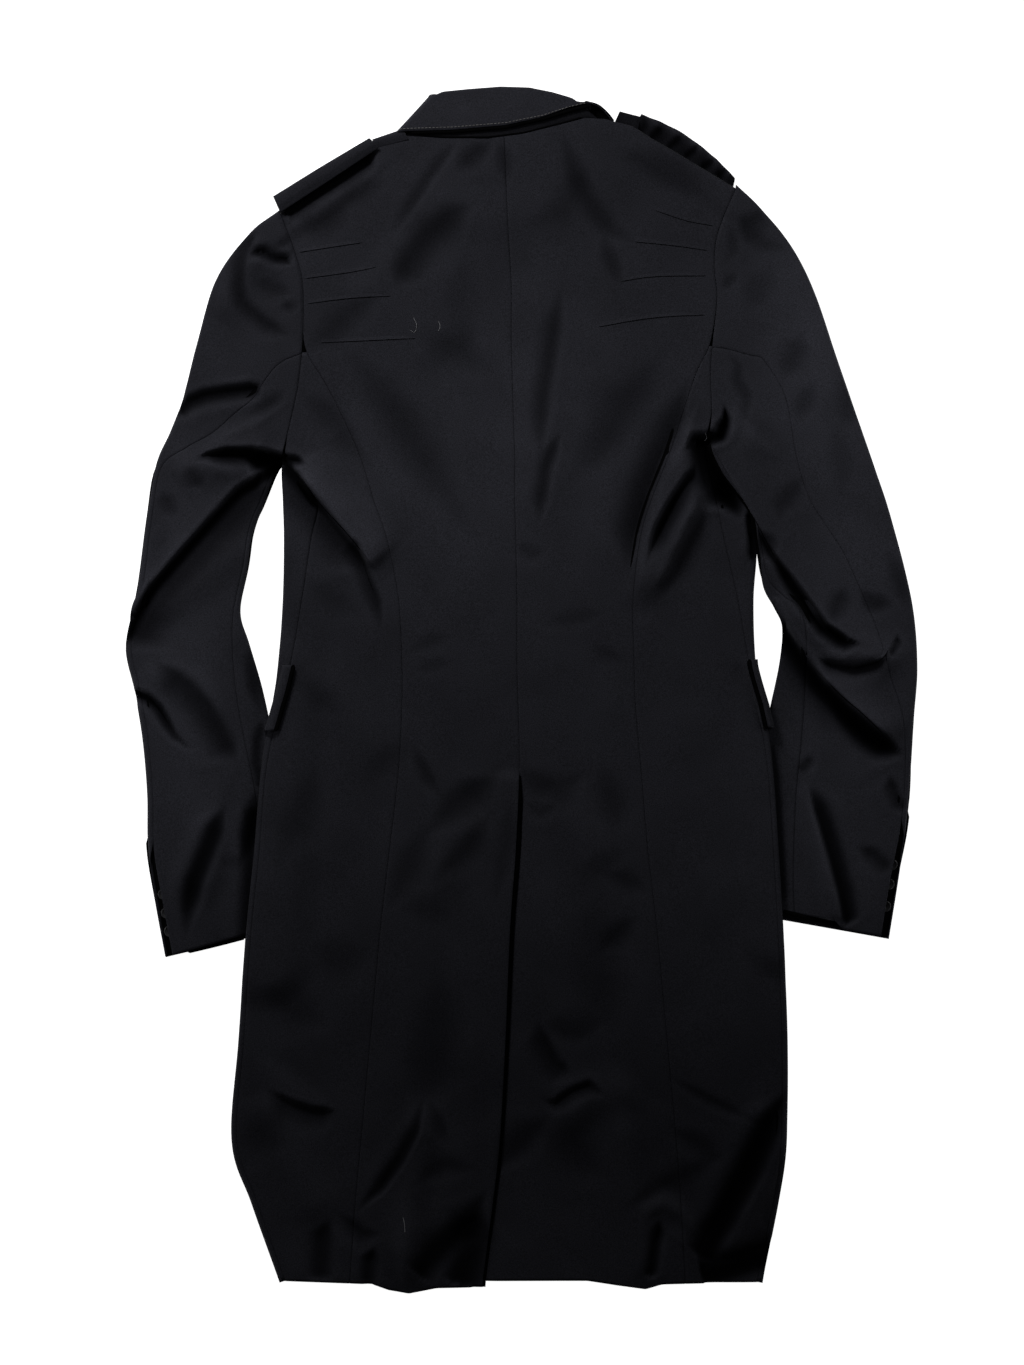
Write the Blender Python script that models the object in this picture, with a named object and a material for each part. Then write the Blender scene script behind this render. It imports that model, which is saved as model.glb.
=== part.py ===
"""A black trench coat lying flat on its front, back up, sleeves beside the body.

Every panel is a closed cloth wall. Body, sleeves and collar are flattened tubes: a row of a tube runs over
the top from its left end to its right end, round the rolled edge and back along the floor. Each panel takes
the stretch of that ring between its two seams. Sizes are millimetres: x to the right as seen from above,
y from hem to collar, z up from the floor.
"""
import math
from collections import namedtuple

import bmesh
import bpy
import numpy as np

# ---- driving dimensions ---------------------------------------------------------------------------------
MM = 0.001
WALL = 2.0            # shell cloth with its lining
SEAM_GAP = 0.3        # two pieces at a seam
LOFT = 7.8            # height of a lying tube: two walls and the air between them
ROLL = 3.9            # how far a folded edge takes to turn over
CELL = 27.0           # size of the mesh's cells
CENTRE_FRONT = -4.0
FRONT_OVERLAP = 16.0  # how far each front passes the centre front
FRONT_AIR = 0.6       # between the two fronts where they overlap
FRONT_RAMP = 26.0     # length over which the left front rises off the right one
RAMP_START = 30.0     # how far before an overlap a panel starts to rise
COLLAR_PLY = 2.6      # a layer of collar with its air
FLAP_PLY = 2.6        # a layer of pocket flap with its air
TUCKED_SLEEVE = 4.6   # height of a sleeve where the body lies on it
TUCK_AIR = 1.2
VENT_TOP = -68.0
VENT_MOUTH = 14.0     # length over which the left panel climbs onto the right one
VENT_AIR = 1.6
VENT_RAMP = 24.0      # across the vent, where the left panel rises
UNDERLAP = 34.0       # back vent: how far the right panel reaches under the left one
UNDERLAP_RAMP = 30.0  # length over which the right panel gets its underlap
HEM_SPLIT = -34.0     # x of the vent at the hem
CUFF_VENT = 12.8      # row at which a cuff's vent opens
CUFF_BUTTON = 10.0
CUFF_BUTTON_AIR = 0.35
FRONT_NECK_DROP = 62.0
FRONT_SHORT = 0.7     # how far the fronts stop short of the back's top edge
SHOULDER_LEAN = 0.34  # how far the armholes lean at the shoulder, across for each step up
LEAN_REACH = 30.0     # how far from an armhole its lean reaches
SHOULDER_TURN = 0.94 * math.pi   # how far a shoulder edge turns over
TIP_REACH = 40.0      # how far from its tip a shoulder edge turns toward the sleeve
NECK_RAMP = 48.0      # how far from the neck a shoulder edge is fully turned
THINNEST = 0.15       # the smallest radius of an inner face

# ---- the cut, a row for each section ----------------------------------------------------------------------
# Body, hem to shoulder: both ends of the row, then where each seam crosses it.
BodyRow = namedtuple("BodyRow", "left_x left_y right_x right_y side_l princess_l centre princess_r side_r")
BODY = [
    BodyRow(-213, -519, 212, -519, -208, -151, -34, 144, 207),
    BodyRow(-238, -449, 226, -449, -233, -146, -25, 140, 221),
    BodyRow(-255, -396, 233, -396, -250, -141, -19, 136, 228),
    BodyRow(-249, -308, 234, -308, -244, -133, -14, 128, 229),
    BodyRow(-242, -211, 230, -211, -237, -124, -10, 119, 225),
    BodyRow(-235, -141, 226, -141, -230, -116, -5, 111, 221),
    BodyRow(-229, -70, 221, -70, -224, -108, -2, 105, 216),
    BodyRow(-219, -13, 213, -13, -212, -105, -3, 100, 207),
    BodyRow(-214, 22, 206, 22, -203, -105, -4, 99, 200),
    BodyRow(-210, 79, 204, 79, -193, -108, -4, 98, 190),
    BodyRow(-209, 132, 203, 132, -185, -118, -5, 104, 178),
    BodyRow(-210, 167, 188, 167, -180, -130, -6, 114, 171),
    BodyRow(-211, 197, 167, 212, -205, -140, -6, 131, 162),
    BodyRow(-206, 223, 167, 246, -203, -151, -7, 142, 164),
    BodyRow(-197, 264, 166, 280, -195, -170, -8, 154, 164),
    BodyRow(-193, 299, 168, 304, -191, -187, -9, 162, 166),
    BodyRow(-192, 336, 172, 343, -190, -190, -9, 169, 169),
    BodyRow(-194, 360, 170, 368, -192, -192, -11, 168, 168),
    BodyRow(-202, 388, 173, 396, -200, -200, -13, 171, 171),
    BodyRow(-212, 419, 188, 441, -210, -210, -15, 186, 186),
]
# As row numbers: where the hem's curve ends, the armpit, how soon the side edge ends above it, the upper tip
# of the side panels, where the rows start to fan out, and the shoulder.
HEM_END, ARMPIT, EDGE_END, SIDE_TIP, FAN, SHOULDER = 1.5, 12.0, 0.6, 14.9, 14.0, float(len(BODY) - 1)
FAN_EASE = 1.3        # the power by which they fan out
EDGE_SWELL = 0.8      # how much rounder the side edge is where it ends

# Sleeve, armhole to cuff: outer and inner end of the row, then how far each seam lies from its end.
SleeveRow = namedtuple("SleeveRow", "outer_x outer_y inner_x inner_y elbow inner_seam")
SLEEVES = {
    "left": [
        SleeveRow(-217, 422, -212, 197, 118, 5),
        SleeveRow(-244, 400, -216, 193, 112, 5),
        SleeveRow(-271, 360, -220, 184, 104, 5),
        SleeveRow(-287, 304, -224, 172, 68, 5),
        SleeveRow(-298, 258, -229, 158, 40, 5),
        SleeveRow(-309, 227, -233, 148, 20, 5),
        SleeveRow(-321, 199, -237, 132, 6, 5),
        SleeveRow(-329, 154, -240, 107, 5, 5),
        SleeveRow(-338, 88, -247, 69, 5, 6),
        SleeveRow(-348, 40, -239, 40, 5, 15),
        SleeveRow(-340, 0, -227, -2, 5, 24),
        SleeveRow(-333, -44, -228, -42, 5, 16),
        SleeveRow(-329, -92, -222, -84, 5, 13),
        SleeveRow(-328, -141, -216, -130, 5, 13),
        SleeveRow(-321, -189, -215, -172, 5, 13),
        SleeveRow(-313, -235, -215, -212, 5, 13),
    ],
    "right": [
        SleeveRow(189, 444, 171, 214, 110, 5),
        SleeveRow(207, 427, 175, 201, 110, 5),
        SleeveRow(229, 402, 181, 187, 104, 5),
        SleeveRow(245, 377, 190, 173, 97, 5),
        SleeveRow(260, 343, 203, 153, 92, 5),
        SleeveRow(277, 292, 208, 128, 92, 5),
        SleeveRow(293, 246, 212, 92, 87, 8),
        SleeveRow(311, 194, 222, 72, 68, 13),
        SleeveRow(325, 151, 229, 55, 54, 22),
        SleeveRow(343, 79, 227, 26, 38, 26),
        SleeveRow(348, 22, 221, -13, 26, 29),
        SleeveRow(345, -24, 220, -53, 10, 27),
        SleeveRow(342, -73, 220, -97, 5, 22),
        SleeveRow(338, -119, 220, -141, 5, 20),
        SleeveRow(332, -163, 221, -172, 5, 18),
        SleeveRow(323, -219, 222, -201, 5, 18),
    ],
}
ARMHOLE_REACH = 6.0    # rows over which a sleeve loses the curve of its armhole
TIED_ROWS = 2.5        # rows over which its columns keep to the body's rows
CUFF_STEP = 4.0        # a cuff's upper layer ends short of its lower one
CUFF_VENT_ROWS = 0.6   # rows over which a cuff vent opens
VENT_SIDE = 0.55       # how far round the outer edge the vent lies, as a share of the turn
ARMPIT_AIR = 0.5
AT_ARMPIT = (0.85, 0.1)   # where that air starts, and over how much, as shares of the armhole
FRONT_CROWD = 1.3      # how close columns may lie where a front leaves the side edge
CUFF_CROWD = 1.2       # and at a cuff vent

# Edges of the cut that no row gives: at x, the height y of each.
Edge = namedtuple("Edge", "x y")
HEM_LEFT = [Edge(-213, 0), Edge(-131, -3), Edge(-117, -8), Edge(-99, -11), Edge(-74, -6), Edge(-34, -5)]
HEM_RIGHT = [Edge(-70, 0), Edge(58, 0), Edge(84, -4), Edge(109, -7), Edge(123, -3), Edge(212, -1)]
TOP_EDGE = [  # left shoulder, back neck seam, right shoulder
    Edge(-212, 419), Edge(-127, 478), Edge(-110, 487), Edge(-93, 487), Edge(-69, 485), Edge(-29, 485),
    Edge(2, 489), Edge(34, 497), Edge(56, 503), Edge(74, 502), Edge(100, 492), Edge(130, 475),
    Edge(160, 457), Edge(188, 441),
]
NECK = (-110.0, 74.0)                    # where the shoulders end
NECK_HEIGHT = (487.0, 502.0)
FALL_TOP = [Edge(-81, 522), Edge(-71, 526), Edge(-49, 528), Edge(-20, 530), Edge(6, 529), Edge(26, 525),
            Edge(58, 516)]
FALL_EDGE = [Edge(-109, 491), Edge(-61, 491), Edge(-14, 495), Edge(18, 502), Edge(42, 508), Edge(58, 510),
             Edge(69, 506), Edge(80, 500)]

# Places where a layer below lifts the cloth: a lane between two points, and how far it reaches.
Lane = namedtuple("Lane", "x0 y0 x1 y1 reach ramp height")
SLEEVE_UNDER_BODY = [
    Lane(-222, 4, -229, -232, 23, 30, TUCKED_SLEEVE + TUCK_AIR),
    Lane(224, 4, 228, -218, 14, 26, TUCKED_SLEEVE + TUCK_AIR),
]
FLAPS_UNDER = [Lane(-206, -7, -125, -7, 36, 24, FLAP_PLY), Lane(201, -2, 120, -2, 36, 24, FLAP_PLY)]
SHOULDERS_UP = [Lane(-222, 413, -120, 481, 15, 16, 3.2), Lane(80, 503, 197, 436, 15, 16, 3.2)]
COLLAR_UNDER = [Lane(-62, 478, 30, 486, 62, 32, COLLAR_PLY)]

# The largest folds: a crest from one point to another that bows to the left of its way.
Fold = namedtuple("Fold", "x0 y0 x1 y1 bow width height")
BODY_FOLDS = [
    Fold(-196, 186, -120, 116, 8, 15, 7),        # left underarm, over the side seam
    Fold(150, 218, 106, 84, 14, 14, 8),          # right underarm
    Fold(-128, 372, -66, 300, -10, 34, 4),       # left shoulder blade
    Fold(92, 372, 60, 260, 8, 34, 4),            # right shoulder blade
    Fold(10, 350, 18, 150, 0, 22, 4),            # beside the centre back seam
    Fold(-44, -110, -88, -190, 0, 20, 5),        # from the vent's top
    Fold(30, -90, 72, -150, 0, 20, 4),
    Fold(-96, -520, -84, -372, 6, 15, 8),        # flutes of the hem
    Fold(-72, -500, -52, -300, 0, 24, 4),
    Fold(108, -520, 88, -370, 0, 15, 7),
    Fold(36, -380, 100, -352, 8, 17, 5),
    Fold(222, -378, 178, -470, 8, 16, 7),        # lower right corner
    Fold(-232, -368, -176, -462, 0, 18, 5),
    Fold(-180, 8, -120, -60, 0, 20, 4),
]
SLEEVE_FOLDS = [
    Fold(-226, 384, -262, 330, -8, 16, 6),       # left sleeve head
    Fold(-224, 224, -300, 190, 6, 16, 8),        # left, above the crease from armpit to elbow
    Fold(-250, 128, -330, 64, 4, 16, 7),
    Fold(-318, 18, -250, -50, 6, 15, 6),
    Fold(-240, -70, -286, -180, 0, 16, 6),
    Fold(196, 230, 236, 90, -10, 17, 7),         # right, above the crease from armpit to elbow
    Fold(236, 82, 330, 26, -12, 16, 9),
    Fold(256, 10, 332, -34, -10, 15, 6),
    Fold(246, -60, 276, -196, -4, 12, 7),        # right cuff, folded over itself
    Fold(238, 372, 286, 250, 8, 24, 4),
]


# ---- curves and surfaces ----------------------------------------------------------------------------------
def smooth(t):
    """0 to 1 with level ends."""
    t = np.clip(t, 0.0, 1.0)
    return t * t * (3.0 - 2.0 * t)


def along(table, column, at):
    """A table's column at a fractional row number, on a smooth curve through the rows."""
    values = np.array([getattr(row, column) for row in table], float)
    at = np.clip(at, 0.0, len(values) - 1.0)
    i = np.minimum(at.astype(int), len(values) - 2)
    t = at - i
    slope = np.gradient(values)
    run = values[i + 1] - values[i]
    a, b = slope[i], slope[i + 1]
    return values[i] + a * t + (3 * run - 2 * a - b) * t**2 + (a + b - 2 * run) * t**3


def edge_y(edge, x):
    """Height of an edge of the cut at x."""
    return np.interp(x, [p.x for p in edge], [p.y for p in edge])


def lanes(table, x, y):
    """How far the layers below lift the cloth at (x, y)."""
    lift = np.zeros_like(x)
    for lane in table:
        dx, dy = lane.x1 - lane.x0, lane.y1 - lane.y0
        t = np.clip(((x - lane.x0) * dx + (y - lane.y0) * dy) / (dx * dx + dy * dy), 0.0, 1.0)
        away = np.hypot(x - lane.x0 - t * dx, y - lane.y0 - t * dy)
        lift = np.maximum(lift, lane.height * (1.0 - smooth((away - lane.reach) / lane.ramp)))
    return lift


def crests(table, x, y):
    """Height of the folds at (x, y)."""
    height = np.zeros_like(x)
    for fold in table:
        dx, dy = fold.x1 - fold.x0, fold.y1 - fold.y0
        length = math.hypot(dx, dy)
        t = ((x - fold.x0) * dx + (y - fold.y0) * dy) / length**2
        side = ((y - fold.y0) * dx - (x - fold.x0) * dy) / length
        side = side - fold.bow * 4.0 * t * (1.0 - t)
        ends = smooth((t + 0.15) / 0.3) * smooth((1.15 - t) / 0.3)
        height += fold.height * np.exp(-(side / fold.width) ** 2) * ends
    return height


def body_floor(x, y):
    """Height of the body's underside."""
    return lanes(SLEEVE_UNDER_BODY + FLAPS_UNDER + SHOULDERS_UP + COLLAR_UNDER, x, y)


def body_top(x, y):
    """Height of its upper side."""
    return body_floor(x, y) + LOFT + crests(BODY_FOLDS, x, y)


def sleeve_floor(x, y):
    return lanes(SHOULDERS_UP, x, y)


def sleeve_top(x, y):
    free = 1.0 - lanes(SLEEVE_UNDER_BODY, x, y) / (TUCKED_SLEEVE + TUCK_AIR)
    return sleeve_floor(x, y) + TUCKED_SLEEVE + free * (LOFT - TUCKED_SLEEVE + crests(SLEEVE_FOLDS, x, y))


class Tube:
    """A flattened tube of cloth. ends(v) gives a row's two ends, shape(v, x, y, over) bends it in plan."""

    def __init__(self, ends, shape, floor, top, inset):
        self.ends, self.shape, self.floor, self.top, self.inset = ends, shape, floor, top, inset

    def width(self, v):
        ax, ay, bx, by = self.ends(v)
        return np.hypot(bx - ax, by - ay)

    def point(self, v, a, rise=None):
        """Outer and inner face at row v. a is the way along the ring, 0 where the top leaves the left roll."""
        ax, ay, bx, by = self.ends(v)
        width = np.hypot(bx - ax, by - ay)
        ux, uy = (bx - ax) / width, (by - ay) / width
        left, right = self.inset(v)
        flat = width - left - right
        turn_l, turn_r = math.pi * left, math.pi * right
        a = np.mod(a + turn_l + flat, 2 * flat + turn_l + turn_r) - turn_l - flat
        over = (a >= 0) & (a <= flat)
        in_left = (a < 0) & (a > -turn_l)
        in_right = (a > flat) & (a < flat + turn_r)
        run = np.where(over, a, np.where(in_left, 0.0, np.where(in_right, flat, 0.0)))
        run = np.where(a <= -turn_l, -a - turn_l, run)
        run = np.where(a >= flat + turn_r, 2 * flat + turn_r - a, run)
        run = np.clip(run, 0.0, flat)
        angle = np.where(in_left, -a / np.maximum(left, 1e-6), 0.0)
        angle = np.where(in_right, (a - flat) / np.maximum(right, 1e-6), angle)
        angle = np.where(~(over | in_left | in_right), math.pi, angle)
        x, y = ax + ux * (left + run), ay + uy * (left + run)
        px, py = self.shape(v, x, y, angle <= math.pi / 2)
        low, high = self.floor(px, py), self.top(px, py)
        if rise is not None:
            high, low = high + rise(px, py), low + rise(px, py)
        out = np.sin(angle) * np.where(in_left, -1.0, 1.0)
        up = np.cos(angle)
        reach = np.where(in_left, left, right)
        mid, half = (low + high) / 2, (high - low) / 2
        outer = np.stack([px + ux * out * reach, py + uy * out * reach, mid + up * half], -1)
        thin_reach = np.maximum(reach - WALL, THINNEST)
        thin_x, thin_y = px + ux * out * thin_reach, py + uy * out * thin_reach
        inner = np.stack([thin_x, thin_y, mid + up * (half - WALL)], -1)
        return outer, inner


# ---- body -------------------------------------------------------------------------------------------------
def body_ends(v):
    return (along(BODY, "left_x", v), along(BODY, "left_y", v),
            along(BODY, "right_x", v), along(BODY, "right_y", v))


def body_inset(v):
    """The side edges roll up to the armpits. Above them the row ends at the armholes."""
    roll = ROLL * (1.0 - smooth((v - ARMPIT) / EDGE_END)) + SEAM_GAP / 2
    roll = roll + EDGE_SWELL * np.sin(math.pi * np.clip(v - ARMPIT, 0.0, 1.0))
    return roll, roll


def shoulder_line(x):
    """Height of the last row at x."""
    ends = BODY[-1]
    return np.interp(x, [ends.left_x, ends.right_x], [ends.left_y, ends.right_y])


def hollow(share):
    """How far the front half of the neck lies below the back half, at a share of the way across."""
    return FRONT_NECK_DROP * (4 * share * (1 - share)) ** 2


def front_top(x):
    """The fronts' top edge: shoulders, and a neckline that dips between them."""
    t = np.clip((x - NECK[0]) / (NECK[1] - NECK[0]), 0.0, 1.0)
    neckline = NECK_HEIGHT[0] + (NECK_HEIGHT[1] - NECK_HEIGHT[0]) * t - hollow(t)
    return np.where((t > 0) & (t < 1), neckline, edge_y(TOP_EDGE, x))


def body_shape(v, x, y, over):
    """The rows fan out to the top edge, and the lowest ones follow the hem."""
    fan = np.clip((v - FAN) / (SHOULDER - FAN), 0.0, 1.0) ** FAN_EASE
    ax, _, bx, _ = body_ends(v)
    lean = SHOULDER_LEAN * (smooth(1.0 - (x - ax) / LEAN_REACH) - smooth(1.0 - (bx - x) / LEAN_REACH))
    top = np.where(over, edge_y(TOP_EDGE, x), front_top(x) - FRONT_SHORT) - ROLL
    y = y + fan * (top - shoulder_line(x))
    x = x + fan * ROLL * lean
    hem = np.clip(1.0 - v / HEM_END, 0.0, 1.0)
    return x, y + hem * np.where(x < HEM_SPLIT, edge_y(HEM_LEFT, x), edge_y(HEM_RIGHT, x))


BODY_TUBE = Tube(body_ends, body_shape, body_floor, body_top, body_inset)


def seam(v, column):
    """Way along the ring at which a seam crosses row v."""
    x = along(BODY, column, v)
    ax, ay, bx, by = body_ends(v)
    left, right = body_inset(v)
    width = np.hypot(bx - ax, by - ay)
    return np.clip((x - ax) / (bx - ax) * width - left, 0.0, width - left - right)


def row_at(y):
    """Number of the row whose left end is at y."""
    at = np.linspace(0.0, len(BODY) - 1.0, 400)
    return float(np.interp(y, along(BODY, "left_y", at), at))


def body_rows(last=SHOULDER):
    """The rows that every body panel is built on, about a cell apart, up to one of them."""
    at = np.linspace(0.0, len(BODY) - 1.0, 400)
    height = (along(BODY, "left_y", at) + along(BODY, "right_y", at)) / 2
    stops = [0.0, row_at(VENT_TOP - VENT_MOUTH), row_at(VENT_TOP), ARMPIT, SIDE_TIP, SHOULDER]
    rows = [0.0]
    for low, high in zip(np.interp(stops[:-1], at, height), np.interp(stops[1:], at, height)):
        count = max(2, round((high - low) / CELL) + 1)
        rows += list(np.interp(np.linspace(low, high, count), height, at)[1:])
    rows = np.array(rows)
    return rows[rows < last + 0.01]


def front_rows():
    """The fronts turn off the side edge in a few more rows above the armpit."""
    return np.sort(np.concatenate([body_rows(), ARMPIT + np.array([0.2, 0.4, 0.6])]))


def vent_rise(x, y):
    """The left back lies on the right one along the vent."""
    lip = np.interp(y, [row.left_y for row in BODY[:8]], [row.centre for row in BODY[:8]])
    near = smooth((x - lip + UNDERLAP + RAMP_START) / VENT_RAMP)
    return (WALL + VENT_AIR) * near * smooth((VENT_TOP - y) / VENT_MOUTH)


def front_rise(x, y):
    """The left front lies inside the right one at the centre front."""
    return (WALL + FRONT_AIR) * smooth((x - CENTRE_FRONT + FRONT_OVERLAP + RAMP_START) / FRONT_RAMP)


def spread(start, stop, count):
    """Columns from start to stop, each an array of one value a row. The last one is left to what follows."""
    share = np.linspace(0.0, 1.0, count + 1)[:-1]
    return [start + (stop - start) * s for s in share]


def grid(v, a):
    """Row numbers for every column of a."""
    return np.repeat(v[:, None], a.shape[1], 1), a


def columns(*stretches):
    parts = [column for start, stop, count in stretches for column in spread(start, stop, count)]
    return np.stack(parts + [stretches[-1][1]], 1)


def back(side):
    """Centre back panel, hem to neck and shoulder, with the shoulder's roll as its last rows."""
    v = body_rows()
    princess = seam(v, "princess_l" if side == "left" else "princess_r")
    centre = seam(v, "centre")
    half = SEAM_GAP / 2
    if side == "left":
        a = columns((princess + half, centre - half, 8))
    else:
        tuck = UNDERLAP * smooth((VENT_TOP - VENT_MOUTH - along(BODY, "left_y", v)) / UNDERLAP_RAMP)
        a = columns((centre + half - tuck, princess - half, 9))
    outer, inner = BODY_TUBE.point(*grid(v, a), vent_rise if side == "left" else None)
    return add_shoulder_roll(outer, inner)


def add_shoulder_roll(outer, inner):
    """Three more rows that turn the shoulder edge over. At the neck seam they only run on a little."""
    x, y, z = outer[-1, :, 0], outer[-1, :, 1], outer[-1, :, 2]
    slope = np.gradient(edge_y(TOP_EDGE, x), x)
    nx, ny = -slope / np.hypot(slope, 1.0), 1.0 / np.hypot(slope, 1.0)
    tip = 0 if x[0] < -x[-1] else -1
    at_tip = smooth(1.0 - np.abs(x - x[tip]) / TIP_REACH)
    up = outer[-1, tip, :2] - outer[-2, tip, :2]
    up /= np.linalg.norm(up)
    nx, ny = nx + (up[0] - nx) * at_tip, ny + (up[1] - ny) * at_tip
    off_neck = np.maximum(smooth((NECK[0] - x) / NECK_RAMP), smooth((x - NECK[1]) / NECK_RAMP))
    radius = (z - body_floor(x, y)) / 2
    rows_out, rows_in = [outer], [inner]
    for step in (1, 2, 3):
        angle = off_neck * step / 3 * SHOULDER_TURN
        shift = ROLL * np.sin(angle) + (1.0 - off_neck) * step
        thin = (ROLL - WALL) * np.sin(angle) + (1.0 - off_neck) * step
        rise = z - radius + radius * np.cos(angle)
        drop = z - radius + (radius - WALL) * np.cos(angle)
        rows_out.append(np.stack([x + nx * shift, y + ny * shift, rise], -1)[None])
        rows_in.append(np.stack([x + nx * thin, y + ny * thin, drop], -1)[None])
    return np.concatenate(rows_out), np.concatenate(rows_in)


def side_back(side):
    """Narrow back panel between princess seam and side seam, hem to a tip at the armhole."""
    v = body_rows(SIDE_TIP)
    half = SEAM_GAP / 2
    if side == "left":
        a = columns((seam(v, "side_l") + half, seam(v, "princess_l") - half, 4))
    else:
        a = columns((seam(v, "princess_r") + half, seam(v, "side_r") - half, 4))
    return BODY_TUBE.point(*grid(v, a))


# Lines down the fronts that the collar stand's columns meet at the neck seam, and how far in from the side
# edge the fronts' first two lines lie.
LEFT_NECK_COLUMNS = (-102.0, -80.0, -50.0, -24.0, CENTRE_FRONT - 1.0, CENTRE_FRONT + FRONT_OVERLAP)
RIGHT_NECK_COLUMNS = (66.0, 48.0, 24.0, 2.0, CENTRE_FRONT + 1.0, CENTRE_FRONT - FRONT_OVERLAP)
LEFT_SIDE_COLUMNS = (30.0, 62.0)
RIGHT_SIDE_COLUMNS = (24.0, 54.0)


def front(side):
    """Front: from the side seam round the side edge and along the floor past the centre front."""
    v = front_rows()
    inset = body_inset(v)[0]
    width = BODY_TUBE.width(v)
    flat = width - 2 * inset
    turn = math.pi * inset
    above = smooth((v - ARMPIT) / EDGE_END)
    ax, bx = along(BODY, "left_x", v), along(BODY, "right_x", v)
    half = SEAM_GAP / 2
    fan = np.clip((v - FAN) / (SHOULDER - FAN), 0.0, 1.0)
    scale = width / (bx - ax)
    if side == "left":
        begin = seam(v, "side_l") - half
        begin = begin * (v <= ARMPIT) - above * turn
        near, far = LEFT_SIDE_COLUMNS
        across = [near + 0 * v, far * (1 - fan) + (NECK[0] - ax - inset) * scale * fan]
        across += [(x - ax - inset) * scale for x in LEFT_NECK_COLUMNS]
        floor = [-turn - way for way in across]
        a = columns((begin, 0 * v, 1), (0 * v, -turn, 3), (-turn, floor[0], 1))
        a = np.concatenate([a[:, :-1], np.stack(floor, 1)], 1)
        a = np.minimum(a, begin[:, None] - FRONT_CROWD * np.arange(a.shape[1]) * (v > ARMPIT)[:, None])
    else:
        begin = seam(v, "side_r") + half
        begin = np.where(v <= ARMPIT, begin, flat + above * turn)
        near, far = RIGHT_SIDE_COLUMNS
        across = [near + 0 * v, far * (1 - fan) + (bx - NECK[1] - inset) * scale * fan]
        across += [(bx - x - inset) * scale for x in RIGHT_NECK_COLUMNS]
        floor = [flat + turn + way for way in across]
        a = columns((begin, flat, 1), (flat, flat + turn, 3), (flat + turn, floor[0], 1))
        a = np.concatenate([a[:, :-1], np.stack(floor, 1)], 1)
        a = np.maximum(a, begin[:, None] + FRONT_CROWD * np.arange(a.shape[1]) * (v > ARMPIT)[:, None])
    return BODY_TUBE.point(*grid(v, a), front_rise if side == "left" else None)


# ---- sleeves ----------------------------------------------------------------------------------------------
def armhole_x(side, y):
    """The armhole is where the body's rows end, from the armpit to half a row past the shoulder."""
    at = front_rows()
    at = at[at > ARMPIT - 0.01]
    x, height = along(BODY, side + "_x", at), along(BODY, side + "_y", at)
    x = np.append(x, 1.5 * x[-1] - 0.5 * x[-2])
    height = np.append(height, 1.5 * height[-1] - 0.5 * height[-2])
    return np.interp(y, height, x)


def sleeve_tube(side):
    table = SLEEVES[side]
    out = -1.0 if side == "left" else 1.0

    def ends(v):
        return (along(table, "outer_x", v), along(table, "outer_y", v),
                along(table, "inner_x", v), along(table, "inner_y", v))

    def shape(v, x, y, over):
        first, zero = table[0], np.zeros_like(v)
        ax, ay, bx, by = ends(v)
        share = np.hypot(x - ax, y - ay) / np.hypot(bx - ax, by - ay)
        start_y = first.outer_y + (first.inner_y - first.outer_y) * share
        start_x = first.outer_x + (first.inner_x - first.outer_x) * share
        pull = np.clip(1.0 - v / ARMHOLE_REACH, 0.0, 1.0) ** 2
        clear = SEAM_GAP / 2 + ARMPIT_AIR * smooth((share - AT_ARMPIT[0]) / AT_ARMPIT[1])
        bulge = (armhole_x(side, start_y) + out * clear - start_x) * pull
        cuff = np.where(over, CUFF_STEP * smooth((v - len(table) + 2.0)), zero)
        return x + bulge, y + cuff

    def inset(v):
        return np.full_like(v, ROLL), np.full_like(v, ROLL)

    return Tube(ends, shape, sleeve_floor, sleeve_top, inset)


def sleeve_rows(side):
    table = SLEEVES[side]
    at = np.linspace(0.0, len(table) - 1.0, 300)
    mid_x = (along(table, "outer_x", at) + along(table, "inner_x", at)) / 2
    mid_y = (along(table, "outer_y", at) + along(table, "inner_y", at)) / 2
    way = np.concatenate([[0.0], np.cumsum(np.hypot(np.diff(mid_x), np.diff(mid_y)))])
    count = round(way[-1] / CELL) + 1
    return np.interp(np.linspace(0.0, way[-1], count), way, at)


def armhole_shares(side, first, last):
    """Where the body's rows meet the sleeve's first row, as shares of its length from the shoulder."""
    rows = body_rows()
    rows = rows[(rows > first - 0.01) & (rows < last + 0.01)][::-1]
    start = SLEEVES[side][0]
    y = along(BODY, side + "_y", rows)
    return (y - start.outer_y) / (start.inner_y - start.outer_y)


def sleeve_stretch(side, v, begin, stop, first, last):
    """Columns from begin to stop. At the armhole they lie on the body's rows, down the arm they spread out."""
    shares = armhole_shares(side, first, last)
    width = sleeve_tube(side).width(v)
    even = np.linspace(0.0, 1.0, len(shares))
    tied = np.clip(1.0 - v / TIED_ROWS, 0.0, 1.0)[:, None]
    snug = shares[None, :] * width[:, None] - ROLL
    loose = begin[:, None] + (stop - begin)[:, None] * even[None, :]
    way = snug * tied + loose * (1.0 - tied)
    return np.clip(way, np.minimum(begin, stop)[:, None], np.maximum(begin, stop)[:, None])


def sleeve_seams(side, v):
    """Where elbow seam and inner seam cross the ring."""
    tied = np.clip(1.0 - v / TIED_ROWS, 0.0, 1.0)
    width = sleeve_tube(side).width(v)
    elbow = along(SLEEVES[side], "elbow", v)
    at_armhole = armhole_shares(side, SIDE_TIP, SHOULDER)[-1] * width
    elbow = at_armhole * tied + elbow * (1.0 - tied) - ROLL
    return elbow, width - ROLL - along(SLEEVES[side], "inner_seam", v)


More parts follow.
